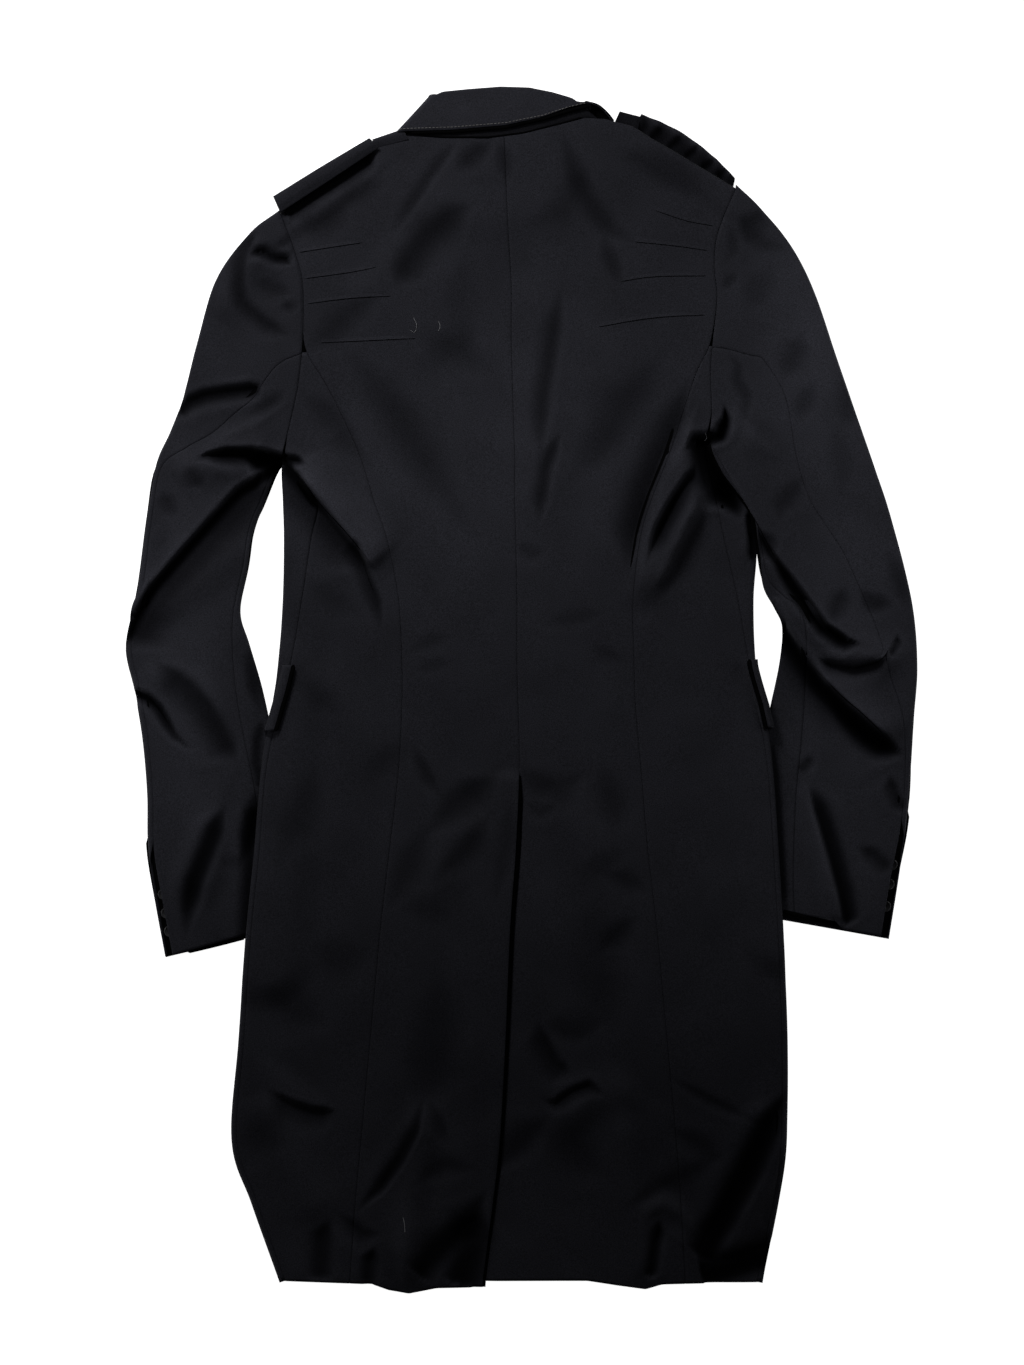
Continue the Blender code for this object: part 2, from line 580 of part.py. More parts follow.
def undersleeve(side):
    """Between elbow seam and inner seam, over the top."""
    v = sleeve_rows(side)
    elbow, inner = sleeve_seams(side, v)
    half = SEAM_GAP / 2
    a = sleeve_stretch(side, v, elbow + half, inner - half, ARMPIT, SIDE_TIP)
    return sleeve_tube(side).point(*grid(v, a))


def topsleeve(side):
    """The rest of the ring: head, outer edge, floor and inner edge. The cuff is open along its vent."""
    v = np.sort(np.concatenate([sleeve_rows(side), CUFF_VENT + np.array([0.05, 0.2, 0.35, 0.5])]))
    tube = sleeve_tube(side)
    elbow, inner = sleeve_seams(side, v)
    half = SEAM_GAP / 2
    turn = math.pi * ROLL
    flat = tube.width(v) - 2 * ROLL
    head = sleeve_stretch(side, v, 0 * v, elbow - half, SIDE_TIP, SHOULDER)[:, :0:-1]
    roll = columns((0 * v, 0 * v - turn, 3))[:, :-1]
    under = -turn - sleeve_stretch(side, v, 0 * v, flat, ARMPIT, SHOULDER)[:, :-1]
    inner_roll = columns((-turn - flat, -2 * turn - flat, 3))[:, :-1]
    last = columns((-2 * turn - flat, -2 * turn - 2 * flat + inner + half, 1))
    a = np.concatenate([head, roll, under, inner_roll, last], 1)
    vent = smooth((v - CUFF_VENT) / CUFF_VENT_ROWS)
    opening = (elbow - half) * (1.0 - vent) - VENT_SIDE * turn * vent
    crowd = opening[:, None] - CUFF_CROWD * np.arange(a.shape[1])[None, :]
    a = np.where((v > CUFF_VENT)[:, None], np.minimum(a, crowd), a)
    return tube.point(*grid(v, a))


# ---- collar -----------------------------------------------------------------------------------------------
# Its ends at the left and right of the neck, from the neck seam or the fold to the free edge.
CollarEnds = namedtuple("CollarEnds", "left_x left_y right_x right_y")
STAND = [CollarEnds(-106, 486, 70, 499), CollarEnds(-75, 518, 52, 513)]
FALL = [CollarEnds(-81, 522, 58, 516), CollarEnds(-109, 491, 80, 500)]
FOLD_RADIUS = 3.0
FOLD_AIR = 0.6         # between the fold and the stand's edge
FOLD_ANGLES = (35.0, 70.0, 90.0)   # rows of the fold, in degrees
FALL_ROLL = 5.5        # how far the fall takes to turn over at its ends
FALL_AIR = 0.8         # between fall and stand
FALL_RAMP = 34.0       # depth over which the fall rises off the stand
STAND_OFF = 2.5        # how far the free edge stands off the stand
CURL = 6.0             # how much more it stands off at the right end, over CURL_REACH from CURL_START
CURL_START = 20.0
CURL_REACH = 50.0
NECK_AIR = 0.4         # at the neck seam
NECK_SEAM_GAP = 1.4    # hidden front half: its straight stretches need more room
FOLD_SHORT = 4.0       # hidden front half: the stand ends this far below the fold


def ends_between(table):
    def ends(v):
        first, last = table
        return tuple(a + (b - a) * v for a, b in zip(first, last))
    return ends


def neck_dip(x, ends):
    """How far the front half of the collar lies below its back half."""
    return hollow(np.clip((x - ends.left_x) / (ends.right_x - ends.left_x), 0.0, 1.0))


def collar_shape(table, start_edge, stop_edge, front_start, front_stop, front_short=0.0):
    first, last = table
    ends = ends_between(table)

    def shape(v, x, y, over):
        ax, ay, bx, by = ends(v)
        share = (x - ax) / (bx - ax)
        x0 = first.left_x + (first.right_x - first.left_x) * share
        x1 = last.left_x + (last.right_x - last.left_x) * share
        start = np.where(over, start_edge(x0), front_start(x0))
        stop = stop_edge(x1) - np.where(over, 0.0, neck_dip(x1, front_stop) + front_short)
        return x, start + (stop - start) * v
    return shape


def collar_inset(radius):
    return lambda v: (np.full_like(v, radius), np.full_like(v, radius))


def stand_tube():
    shape = collar_shape(STAND, lambda x: edge_y(TOP_EDGE, x) + NECK_AIR,
                         lambda x: edge_y(FALL_TOP, x) - FOLD_RADIUS - FOLD_AIR,
                         lambda x: front_top(x) - ROLL + NECK_SEAM_GAP, STAND[1], FOLD_SHORT)
    return Tube(ends_between(STAND), shape, body_floor, body_top, collar_inset(ROLL))


def fall_top(x, y):
    edge = smooth((edge_y(FALL_TOP, x) - y) / FALL_RAMP)
    curl = CURL * smooth((x - CURL_START) / CURL_REACH)
    return body_top(x, y) + WALL + FALL_AIR + edge * (STAND_OFF + curl)


def fall_floor(x, y):
    return np.maximum(body_floor(x, y) - COLLAR_PLY, 0.0)


def fall_tube():
    shape = collar_shape(FALL, lambda x: edge_y(FALL_TOP, x) - FOLD_RADIUS, lambda x: edge_y(FALL_EDGE, x),
                         lambda x: edge_y(FALL_TOP, x) - FOLD_RADIUS - neck_dip(x, STAND[1]), STAND[0])
    return Tube(ends_between(FALL), shape, fall_floor, fall_top, collar_inset(FALL_ROLL))


def collar_ring(tube, v, left_shares, right_shares):
    """Columns from the centre front over the left side, the back and the right side to the centre front."""
    width = tube.width(v)
    left, right = tube.inset(v)
    flat = width - left - right
    turn = math.pi * left
    start = [-turn - np.clip(share * width - left, 0, flat) for share in left_shares]
    stop = [flat + turn + np.clip((1 - share) * width - right, 0, flat) for share in right_shares]
    ring = columns((-turn, 0 * v, 4), (0 * v, flat, 8), (flat, flat + turn, 4))
    return np.concatenate([np.stack(start, 1), ring, np.stack(stop, 1)], 1)


def neck_shares(columns_x):
    first = STAND[0]
    return [(x - first.left_x) / (first.right_x - first.left_x) for x in columns_x]


def collar_stand():
    v = np.linspace(0.0, 1.0, 3)
    tube = stand_tube()
    left = neck_shares(LEFT_NECK_COLUMNS[4:0:-1])
    right = neck_shares(RIGHT_NECK_COLUMNS[1:5])
    return tube.point(*grid(v, collar_ring(tube, v, left, right)))


def collar_fall():
    """The fall, turned in at the fold so that it closes over the stand's edge."""
    v = np.linspace(0.0, 1.0, 4)
    tube = fall_tube()
    left = neck_shares(LEFT_NECK_COLUMNS[4:0:-1])
    right = neck_shares(RIGHT_NECK_COLUMNS[1:5])
    outer, inner = tube.point(*grid(v, collar_ring(tube, v, left, right)))
    out = (outer[0] - inner[0]) / WALL
    north = outer[0] - outer[1]
    north[:, 2] = 0.0
    north /= np.linalg.norm(north, axis=1)[:, None]
    north -= out * np.sum(north * out, axis=1)[:, None]
    centre = outer[0] - FOLD_RADIUS * out
    rows_out, rows_in = [outer], [inner]
    for angle in np.radians(FOLD_ANGLES):
        way = math.sin(angle) * north + math.cos(angle) * out
        rows_out.insert(0, (centre + FOLD_RADIUS * way)[None])
        rows_in.insert(0, (centre + (FOLD_RADIUS - WALL) * way)[None])
    return np.concatenate(rows_out), np.concatenate(rows_in)


# ---- epaulettes and flaps ---------------------------------------------------------------------------------
# A strap is a section carried along a line: away is outward from the line, up from the floor.
Section = namedtuple("Section", "away up")
Strap = namedtuple("Strap", "x0 y0 x1 y1 outward bow section")
EPAULETTES = {
    "left": Strap(-214, 421, -127, 480, (-0.56, 0.83), 0.0, [
        Section(-4, 17.5), Section(2, 18.5), Section(6, 16), Section(8, 11), Section(7.5, 5), Section(5, 1.2),
        Section(0, 0), Section(-10, 0)]),
    "right": Strap(186, 445, 104, 494, (0.53, 0.85), 3.0, [
        Section(4.8, 6.5), Section(8, 6), Section(12, 8), Section(15, 8.5), Section(16.5, 5), Section(15, 1),
        Section(10, 0), Section(-8, 0)]),
}
KEEPERS = {
    "left": Strap(-125, 482, -114, 488, (-0.5, 0.87), 0.0, [
        Section(-2, 15), Section(3, 15), Section(6, 11), Section(6, 5), Section(3, 0.8), Section(-6, 0)]),
    "right": Strap(100, 498, 84, 503, (0.3, 0.95), 0.0, [
        Section(2, 12), Section(7, 12), Section(10, 8), Section(10, 4), Section(6, 0.6), Section(-4, 0)]),
}
STRAP_WALL = 1.8
PUCKER = 1.2           # height of the right epaulette's cross folds
PUCKER_WAVES = 11      # half waves of them
PUCKERED_ABOVE = 3.0   # its lower part stays flat


def strap(shape, stations, pucker=0.0):
    """Outer and inner face of a strap, the inner one toward the cloth that it wraps."""
    section = np.array(shape.section, float)
    tangent = np.gradient(section, axis=0)
    tangent /= np.linalg.norm(tangent, axis=1)[:, None]
    inward = np.stack([tangent[:, 1], -tangent[:, 0]], 1)
    share = np.linspace(0.0, 1.0, stations)[:, None]
    nx, ny = shape.outward
    faces = []
    for face in (section, section + STRAP_WALL * inward):
        wave = pucker * np.sin(share * math.pi * PUCKER_WAVES) * (face[None, :, 1] > PUCKERED_ABOVE)
        away = face[None, :, 0] + shape.bow * 4 * share * (1 - share)
        x = shape.x0 + (shape.x1 - shape.x0) * share + nx * away
        y = shape.y0 + (shape.y1 - shape.y0) * share + ny * away
        faces.append(np.stack([x, y, face[None, :, 1] + wave + 0 * x], -1))
    return faces


# A pocket flap lies under the front. Its back end comes round the side edge and stands off the back.
FLAP_SECTION = [Section(-7, 18), Section(-3, 18.5), Section(0.5, 17.5), Section(3.2, 13), Section(3.4, 6),
                Section(2, 1.5), Section(-3, 0), Section(-26, 0), Section(-46, 0), Section(-66, 0)]
FLAP_ENDS = {"left": (22.0, -36.0), "right": (26.0, -32.0)}   # y of its top and bottom


def pocket_flap(side):
    """Rows down the side edge from the flap's top to its bottom."""
    top, bottom = FLAP_ENDS[side]
    y = np.linspace(top, bottom, 5)
    below = BODY[:9]
    v = np.interp(y, [row.left_y for row in below], np.arange(float(len(below))))
    out = -1.0 if side == "left" else 1.0
    edge = along(BODY, side + "_x", v)
    section = np.array(FLAP_SECTION)
    tangent = np.gradient(section, axis=0)
    tangent /= np.linalg.norm(tangent, axis=1)[:, None]
    inward = np.stack([tangent[:, 1], -tangent[:, 0]], 1)
    faces = []
    for face in (section, section + STRAP_WALL * inward):
        x = edge[:, None] + out * face[None, :, 0]
        faces.append(np.stack([x, y[:, None] + 0 * x, face[None, :, 1] + 0 * x], -1))
    return faces


BUTTON_THICK = 2.6
BUTTON_BEVEL = 0.5
BUTTON_INSET = WALL + 0.8          # from the sleeve's outer edge to a button's rim
BUTTON_ROWS = (13.8, 14.15, 14.5)


def cuff_button(name, side, row, finish):
    """A flat button on the lower layer of the open cuff, its rim showing in the vent."""
    table = SLEEVES[side]
    at = np.array([row])
    out = -1.0 if side == "left" else 1.0
    x = along(table, "outer_x", at)[0] - out * (BUTTON_INSET + CUFF_BUTTON / 2)
    y = along(table, "outer_y", at)[0]
    mesh = bmesh.new()
    radius = CUFF_BUTTON / 2 * MM
    bmesh.ops.create_cone(mesh, cap_ends=True, segments=16, radius1=radius, radius2=radius,
                          depth=BUTTON_THICK * MM)
    rims = [edge for edge in mesh.edges if edge.verts[0].co.z * edge.verts[1].co.z > 0]
    bmesh.ops.bevel(mesh, geom=rims, offset=BUTTON_BEVEL * MM, segments=1, affect="EDGES")
    data = bpy.data.meshes.new(name)
    mesh.to_mesh(data)
    mesh.free()
    cover(data, finish)
    button = bpy.data.objects.new(name, data)
    button.location = (x * MM, y * MM, (WALL + CUFF_BUTTON_AIR + BUTTON_THICK / 2) * MM)
    bpy.context.scene.collection.objects.link(button)


# ---- meshes -----------------------------------------------------------------------------------------------
def wall(name, faces, finish):
    """A closed wall between two grids of points, from outer and inner face."""
    outer, inner = faces
    rows, cols = outer.shape[:2]
    mesh = bmesh.new()
    tops = [[mesh.verts.new(tuple(p * MM)) for p in row] for row in outer]
    lows = [[mesh.verts.new(tuple(p * MM)) for p in row] for row in inner]
    for i in range(rows - 1):
        for j in range(cols - 1):
            mesh.faces.new((tops[i][j], tops[i][j + 1], tops[i + 1][j + 1], tops[i + 1][j]))
            mesh.faces.new((lows[i][j], lows[i + 1][j], lows[i + 1][j + 1], lows[i][j + 1]))
    rim = [(i, 0) for i in range(rows)] + [(rows - 1, j) for j in range(1, cols)]
    rim += [(i, cols - 1) for i in range(rows - 2, -1, -1)] + [(0, j) for j in range(cols - 2, 0, -1)]
    for (i, j), (k, m) in zip(rim, rim[1:] + rim[:1]):
        mesh.faces.new((tops[i][j], tops[k][m], lows[k][m], lows[i][j]))
    bmesh.ops.recalc_face_normals(mesh, faces=mesh.faces)
    data = bpy.data.meshes.new(name)
    mesh.to_mesh(data)
    mesh.free()
    cover(data, finish)
    data.shade_smooth()
    bpy.context.scene.collection.objects.link(bpy.data.objects.new(name, data))


Finish = namedtuple("Finish", "colour roughness")
TWILL = Finish((0.02, 0.02, 0.024), 0.75)
HORN = Finish((0.012, 0.012, 0.013), 0.35)


def cover(data, finish):
    """Gives a mesh its own material."""
    material = bpy.data.materials.new(data.name)
    material.use_nodes = True
    shader = material.node_tree.nodes["Principled BSDF"]
    shader.inputs["Base Color"].default_value = (*finish.colour, 1.0)
    shader.inputs["Roughness"].default_value = finish.roughness
    data.materials.append(material)


def clear_scene():
    for thing in list(bpy.data.objects):
        bpy.data.objects.remove(thing, do_unlink=True)


def main():
    clear_scene()
    for side in ("left", "right"):
        wall("back_" + side, back(side), TWILL)
        wall("side_back_" + side, side_back(side), TWILL)
        wall("front_" + side, front(side), TWILL)
        wall("undersleeve_" + side, undersleeve(side), TWILL)
        wall("topsleeve_" + side, topsleeve(side), TWILL)
        wall("epaulette_" + side, strap(EPAULETTES[side], 11, PUCKER if side == "right" else 0.0), TWILL)
        wall("keeper_" + side, strap(KEEPERS[side], 3), TWILL)
        wall("pocket_flap_" + side, pocket_flap(side), TWILL)
        for number, row in enumerate(BUTTON_ROWS, 1):
            cuff_button(f"cuff_button_{side}_{number}", side, row, HORN)
    wall("collar_stand", collar_stand(), TWILL)
    wall("collar_fall", collar_fall(), TWILL)


main()
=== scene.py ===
"""Looks of a black trench coat lying flat on its front, back up.

Every piece of cloth is a thin shell on the form of its solid: the same flattened tubes, cut along the same
seams, with finer rows and columns. Creases, tucks, seams and puckers are added to the height of the cloth.
Sizes are millimetres: x to the right as seen from above, y from hem to collar, z up from the floor.
"""
import math
from collections import namedtuple

import bpy
import numpy as np
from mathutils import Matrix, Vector


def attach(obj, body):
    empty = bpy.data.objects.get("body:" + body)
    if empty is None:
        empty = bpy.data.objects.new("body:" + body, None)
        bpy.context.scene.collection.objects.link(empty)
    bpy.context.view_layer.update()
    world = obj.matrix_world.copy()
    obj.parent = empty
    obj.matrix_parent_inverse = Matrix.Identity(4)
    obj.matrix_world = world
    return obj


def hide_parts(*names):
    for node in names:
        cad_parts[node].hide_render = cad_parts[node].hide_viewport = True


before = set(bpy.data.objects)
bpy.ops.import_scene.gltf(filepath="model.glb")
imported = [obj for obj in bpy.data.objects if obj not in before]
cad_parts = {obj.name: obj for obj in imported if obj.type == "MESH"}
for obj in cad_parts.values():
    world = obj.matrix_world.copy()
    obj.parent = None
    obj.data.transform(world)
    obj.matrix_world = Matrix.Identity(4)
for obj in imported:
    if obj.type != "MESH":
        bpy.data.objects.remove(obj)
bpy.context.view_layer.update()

# ---- driving dimensions ----
MM = 0.001
WALL = 2.0            # the solid's wall
CLOTH = 0.9           # the shell's
SEAM_GAP = 0.16       # two pieces at a seam
LOFT = 7.8            # height of a lying tube: two walls and the air between them
ROLL = 3.9            # how far a folded edge takes to turn over
CELL = 2.6   # size of the cells of the cloth
SEAM_DEPTH = 0.6      # how far the edges of two pieces dip at their seam
SEAM_SOFT = 0.9       # over how much cloth they dip
UNDERLAP = 34.0       # back vent: how far the right panel reaches under the left one
FRONT_OVERLAP = 16.0  # how far each front passes the centre front
FRONT_COLUMNS = 30    # over the floor
COLLAR_PLY = 2.6      # a layer of collar with its air
FLAP_PLY = 2.6        # a layer of pocket flap with its air
TUCKED_SLEEVE = 4.6   # height of a sleeve where the body lies on it
TUCK_AIR = 1.2        # between a sleeve and the body on it
SAG = -5.6            # the deepest trough, where back and front nearly meet
VENT_TOP = -68.0      # y at which the back vent begins
VENT_MOUTH = 12.0     # length over which the left panel climbs onto the right one
VENT_AIR = 1.6        # between the two
CENTRE_FRONT = -4.0   # its x
HEM_SPLIT = -34.0     # x of the vent at the hem
CUFF_VENT = 12.8      # row at which a cuff's vent opens
CUFF_BUTTON = 10.0    # its diameter
FRONT_NECK_DROP = 62.0   # how much lower the neck is at the front
SHOULDER_LEAN = 0.34  # how far the armholes lean at the shoulder, across for each step up

# ---- the cut, a row for each section ----
# Body, hem to shoulder: both ends of the row, then where each seam crosses it.
BodyRow = namedtuple("BodyRow", "left_x left_y right_x right_y side_l princess_l centre princess_r side_r")
BODY = [BodyRow(*row) for row in [
    (-213, -519, 212, -519, -208, -151, -34, 144, 207),
    (-238, -449, 226, -449, -233, -146, -25, 140, 221),
    (-255, -396, 233, -396, -250, -141, -19, 136, 228),
    (-249, -308, 234, -308, -244, -133, -14, 128, 229),
    (-242, -211, 230, -211, -237, -124, -10, 119, 225),
    (-235, -141, 226, -141, -230, -116, -5, 111, 221),
    (-229, -70, 221, -70, -224, -108, -2, 105, 216),
    (-219, -13, 213, -13, -212, -105, -3, 100, 207),
    (-214, 22, 206, 22, -203, -105, -4, 99, 200),
    (-210, 79, 204, 79, -193, -108, -4, 98, 190),
    (-209, 132, 207, 132, -185, -118, -5, 104, 178),
    (-210, 167, 198, 167, -180, -130, -6, 114, 171),
    (-211, 197, 167, 212, -205, -140, -6, 131, 162),
    (-206, 223, 167, 246, -206, -151, -7, 142, 167),
    (-197, 264, 166, 280, -197, -170, -8, 154, 166),
    (-193, 299, 168, 304, -193, -190, -9, 166, 168),
    (-192, 336, 172, 343, -192, -192, -9, 172, 172),
    (-194, 360, 170, 368, -194, -194, -11, 170, 170),
    (-202, 388, 173, 396, -202, -202, -13, 173, 173),
    (-212, 419, 188, 441, -212, -212, -15, 188, 188),
]]
ARMPIT, SIDE_TIP, FAN, SHOULDER = 12.0, 14.9, 14.0, float(len(BODY) - 1)   # as row numbers

# Sleeve, armhole to cuff: outer and inner end of the row, then how far each seam lies from its end.
SleeveRow = namedtuple("SleeveRow", "outer_x outer_y inner_x inner_y elbow inner_seam")
SLEEVES = {
    "left": [SleeveRow(*row) for row in [
        (-217, 422, -212, 197, 118, 5),
        (-244, 400, -216, 193, 112, 5),
        (-271, 360, -220, 184, 104, 5),
        (-287, 304, -224, 172, 68, 5),
        (-298, 258, -229, 158, 40, 5),
        (-309, 227, -233, 148, 20, 5),
        (-321, 199, -237, 132, 6, 5),
        (-329, 154, -240, 107, 5, 5),
        (-338, 88, -247, 69, 5, 6),
        (-348, 40, -239, 40, 5, 15),
        (-340, 0, -227, -2, 5, 24),
        (-333, -44, -220, -42, 5, 24),
        (-329, -92, -222, -84, 5, 13),
        (-328, -141, -216, -130, 5, 13),
        (-321, -189, -215, -172, 6, 13),
        (-313, -235, -215, -212, 6.5, 13),
    ]],
    "right": [SleeveRow(*row) for row in [
        (189, 444, 171, 214, 110, 5),
        (207, 427, 175, 201, 110, 5),
        (229, 402, 181, 187, 104, 5),
        (245, 377, 190, 173, 97, 5),
        (260, 343, 203, 153, 92, 5),
        (277, 292, 208, 128, 92, 5),
        (293, 246, 212, 92, 87, 8),
        (311, 194, 222, 72, 68, 13),
        (325, 151, 229, 55, 54, 22),
        (343, 79, 227, 26, 38, 26),
        (348, 22, 219, -13, 26, 31),
        (345, -24, 210, -53, 10, 37),
        (342, -73, 215, -97, 5, 27),
        (338, -119, 217, -141, 5, 23),
        (332, -163, 221, -172, 7.5, 18),
        (323, -219, 222, -201, 7.5, 18),
    ]],
}
ARMHOLE_REACH = 6.0    # rows over which a sleeve loses the curve of its armhole
# How far a cuff's upper layer ends short of its lower one: at a share of the way from outer to inner edge.
CUFF_STEPS = {"left": [(0.0, 0.3), (1.0, 4.6)], "right": [(0.0, 0.6), (0.4, 1.2), (0.47, 7.6), (1.0, 8.0)]}
ARMPIT_AIR = 0.5

# Edges of the cut that no row gives, as points (x, y).
HEM_LEFT = [(-213, 0), (-131, -3), (-117, -8), (-99, -11), (-74, -6), (-34, -5)]
HEM_RIGHT = [(-70, 0), (58, 0), (84, -4), (109, -7), (123, -3), (212, -1)]
# left shoulder, back neck seam, right shoulder
TOP_EDGE = [(-212, 419), (-127, 478), (-110, 487), (-93, 487), (-69, 485), (-29, 485), (2, 489), (34, 497),
            (56, 503), (74, 502), (100, 492), (130, 475), (160, 457), (188, 441)]
NECK = (-110.0, 74.0)                    # where the shoulders end
NECK_HEIGHT = (487.0, 502.0)
FALL_TOP = [(-81, 522), (-71, 526), (-49, 528), (-20, 530), (6, 529), (26, 525), (58, 516)]
FALL_EDGE = [(-110, 490), (-61, 491.3), (-14, 495.4), (18, 502.5), (42, 511.3), (58, 515.5), (62, 515)]

# Places where a layer below lifts the cloth: a lane between two points, and how far it reaches.
Lane = namedtuple("Lane", "x0 y0 x1 y1 reach ramp height")
SLEEVE_UNDER_BODY = [
    Lane(-222, 4, -229, -232, 23, 30, TUCKED_SLEEVE + TUCK_AIR),
    Lane(224, 4, 228, -218, 14, 26, TUCKED_SLEEVE + TUCK_AIR),
]
FLAPS_UNDER = [Lane(-206, -7, -125, -7, 36, 24, FLAP_PLY), Lane(201, -2, 120, -2, 36, 24, FLAP_PLY)]
SHOULDERS_UP = [Lane(-222, 413, -120, 481, 15, 16, 3.2), Lane(80, 503, 197, 436, 15, 16, 3.2)]
COLLAR_UNDER = [Lane(-62, 478, 30, 486, 62, 32, COLLAR_PLY)]

# The largest folds: a crest from one point to another that bows to the left of its way.
Fold = namedtuple("Fold", "x0 y0 x1 y1 bow width height")
BODY_FOLDS = [
    Fold(-196, 186, -120, 116, 8, 15, 7),        # left underarm, over the side seam
    Fold(150, 218, 106, 84, 14, 14, 8),          # right underarm
    Fold(-128, 372, -66, 300, -10, 34, 4),       # left shoulder blade
    Fold(92, 372, 60, 260, 8, 34, 4),            # right shoulder blade
    Fold(10, 350, 18, 150, 0, 22, 4),            # beside the centre back seam
    Fold(-44, -110, -88, -190, 0, 20, 5),        # from the vent's top
    Fold(30, -90, 72, -150, 0, 20, 4),
    Fold(-96, -520, -84, -372, 6, 15, 8),        # flutes of the hem
    Fold(-72, -500, -52, -300, 0, 24, 4),
    Fold(108, -520, 88, -370, 0, 15, 7),
    Fold(36, -380, 100, -352, 8, 17, 5),
    Fold(222, -378, 178, -470, 8, 16, 7),        # lower right corner
    Fold(-232, -368, -176, -462, 0, 18, 5),
    Fold(-180, 8, -120, -60, 0, 20, 4),
]
SLEEVE_FOLDS = [
    Fold(-226, 384, -262, 330, -8, 16, 6),       # left sleeve head
    Fold(-224, 224, -300, 190, 6, 16, 8),        # left, above the crease from armpit to elbow
    Fold(-250, 128, -330, 64, 4, 16, 7),
    Fold(-318, 18, -250, -50, 6, 15, 6),
    Fold(-240, -70, -286, -180, 0, 16, 6),
    Fold(196, 230, 236, 90, -10, 17, 7),         # right, above the crease from armpit to elbow
    Fold(236, 82, 330, 26, -12, 16, 9),
    Fold(256, 10, 332, -34, -10, 15, 6),
    Fold(246, -60, 276, -196, -4, 12, 7),        # right cuff, folded over itself
    Fold(238, 372, 286, 250, 8, 24, 4),
]

# Creases, given one by one. A crease follows its points and falls off over one width on its left side and
# over another on its right. A height below zero is a trough. fade is the share of its length over which it
# rises at its start and ends at its stop, one number where both are the same.
# Besides shaping the cloth, each crease's height paints its colour: darker in a trough as painted shade,
# lighter on a ridge as a painted highlight. The shape stops at SAG, so deeper troughs only paint more shade.
Crease = namedtuple("Crease", "left right height fade points")
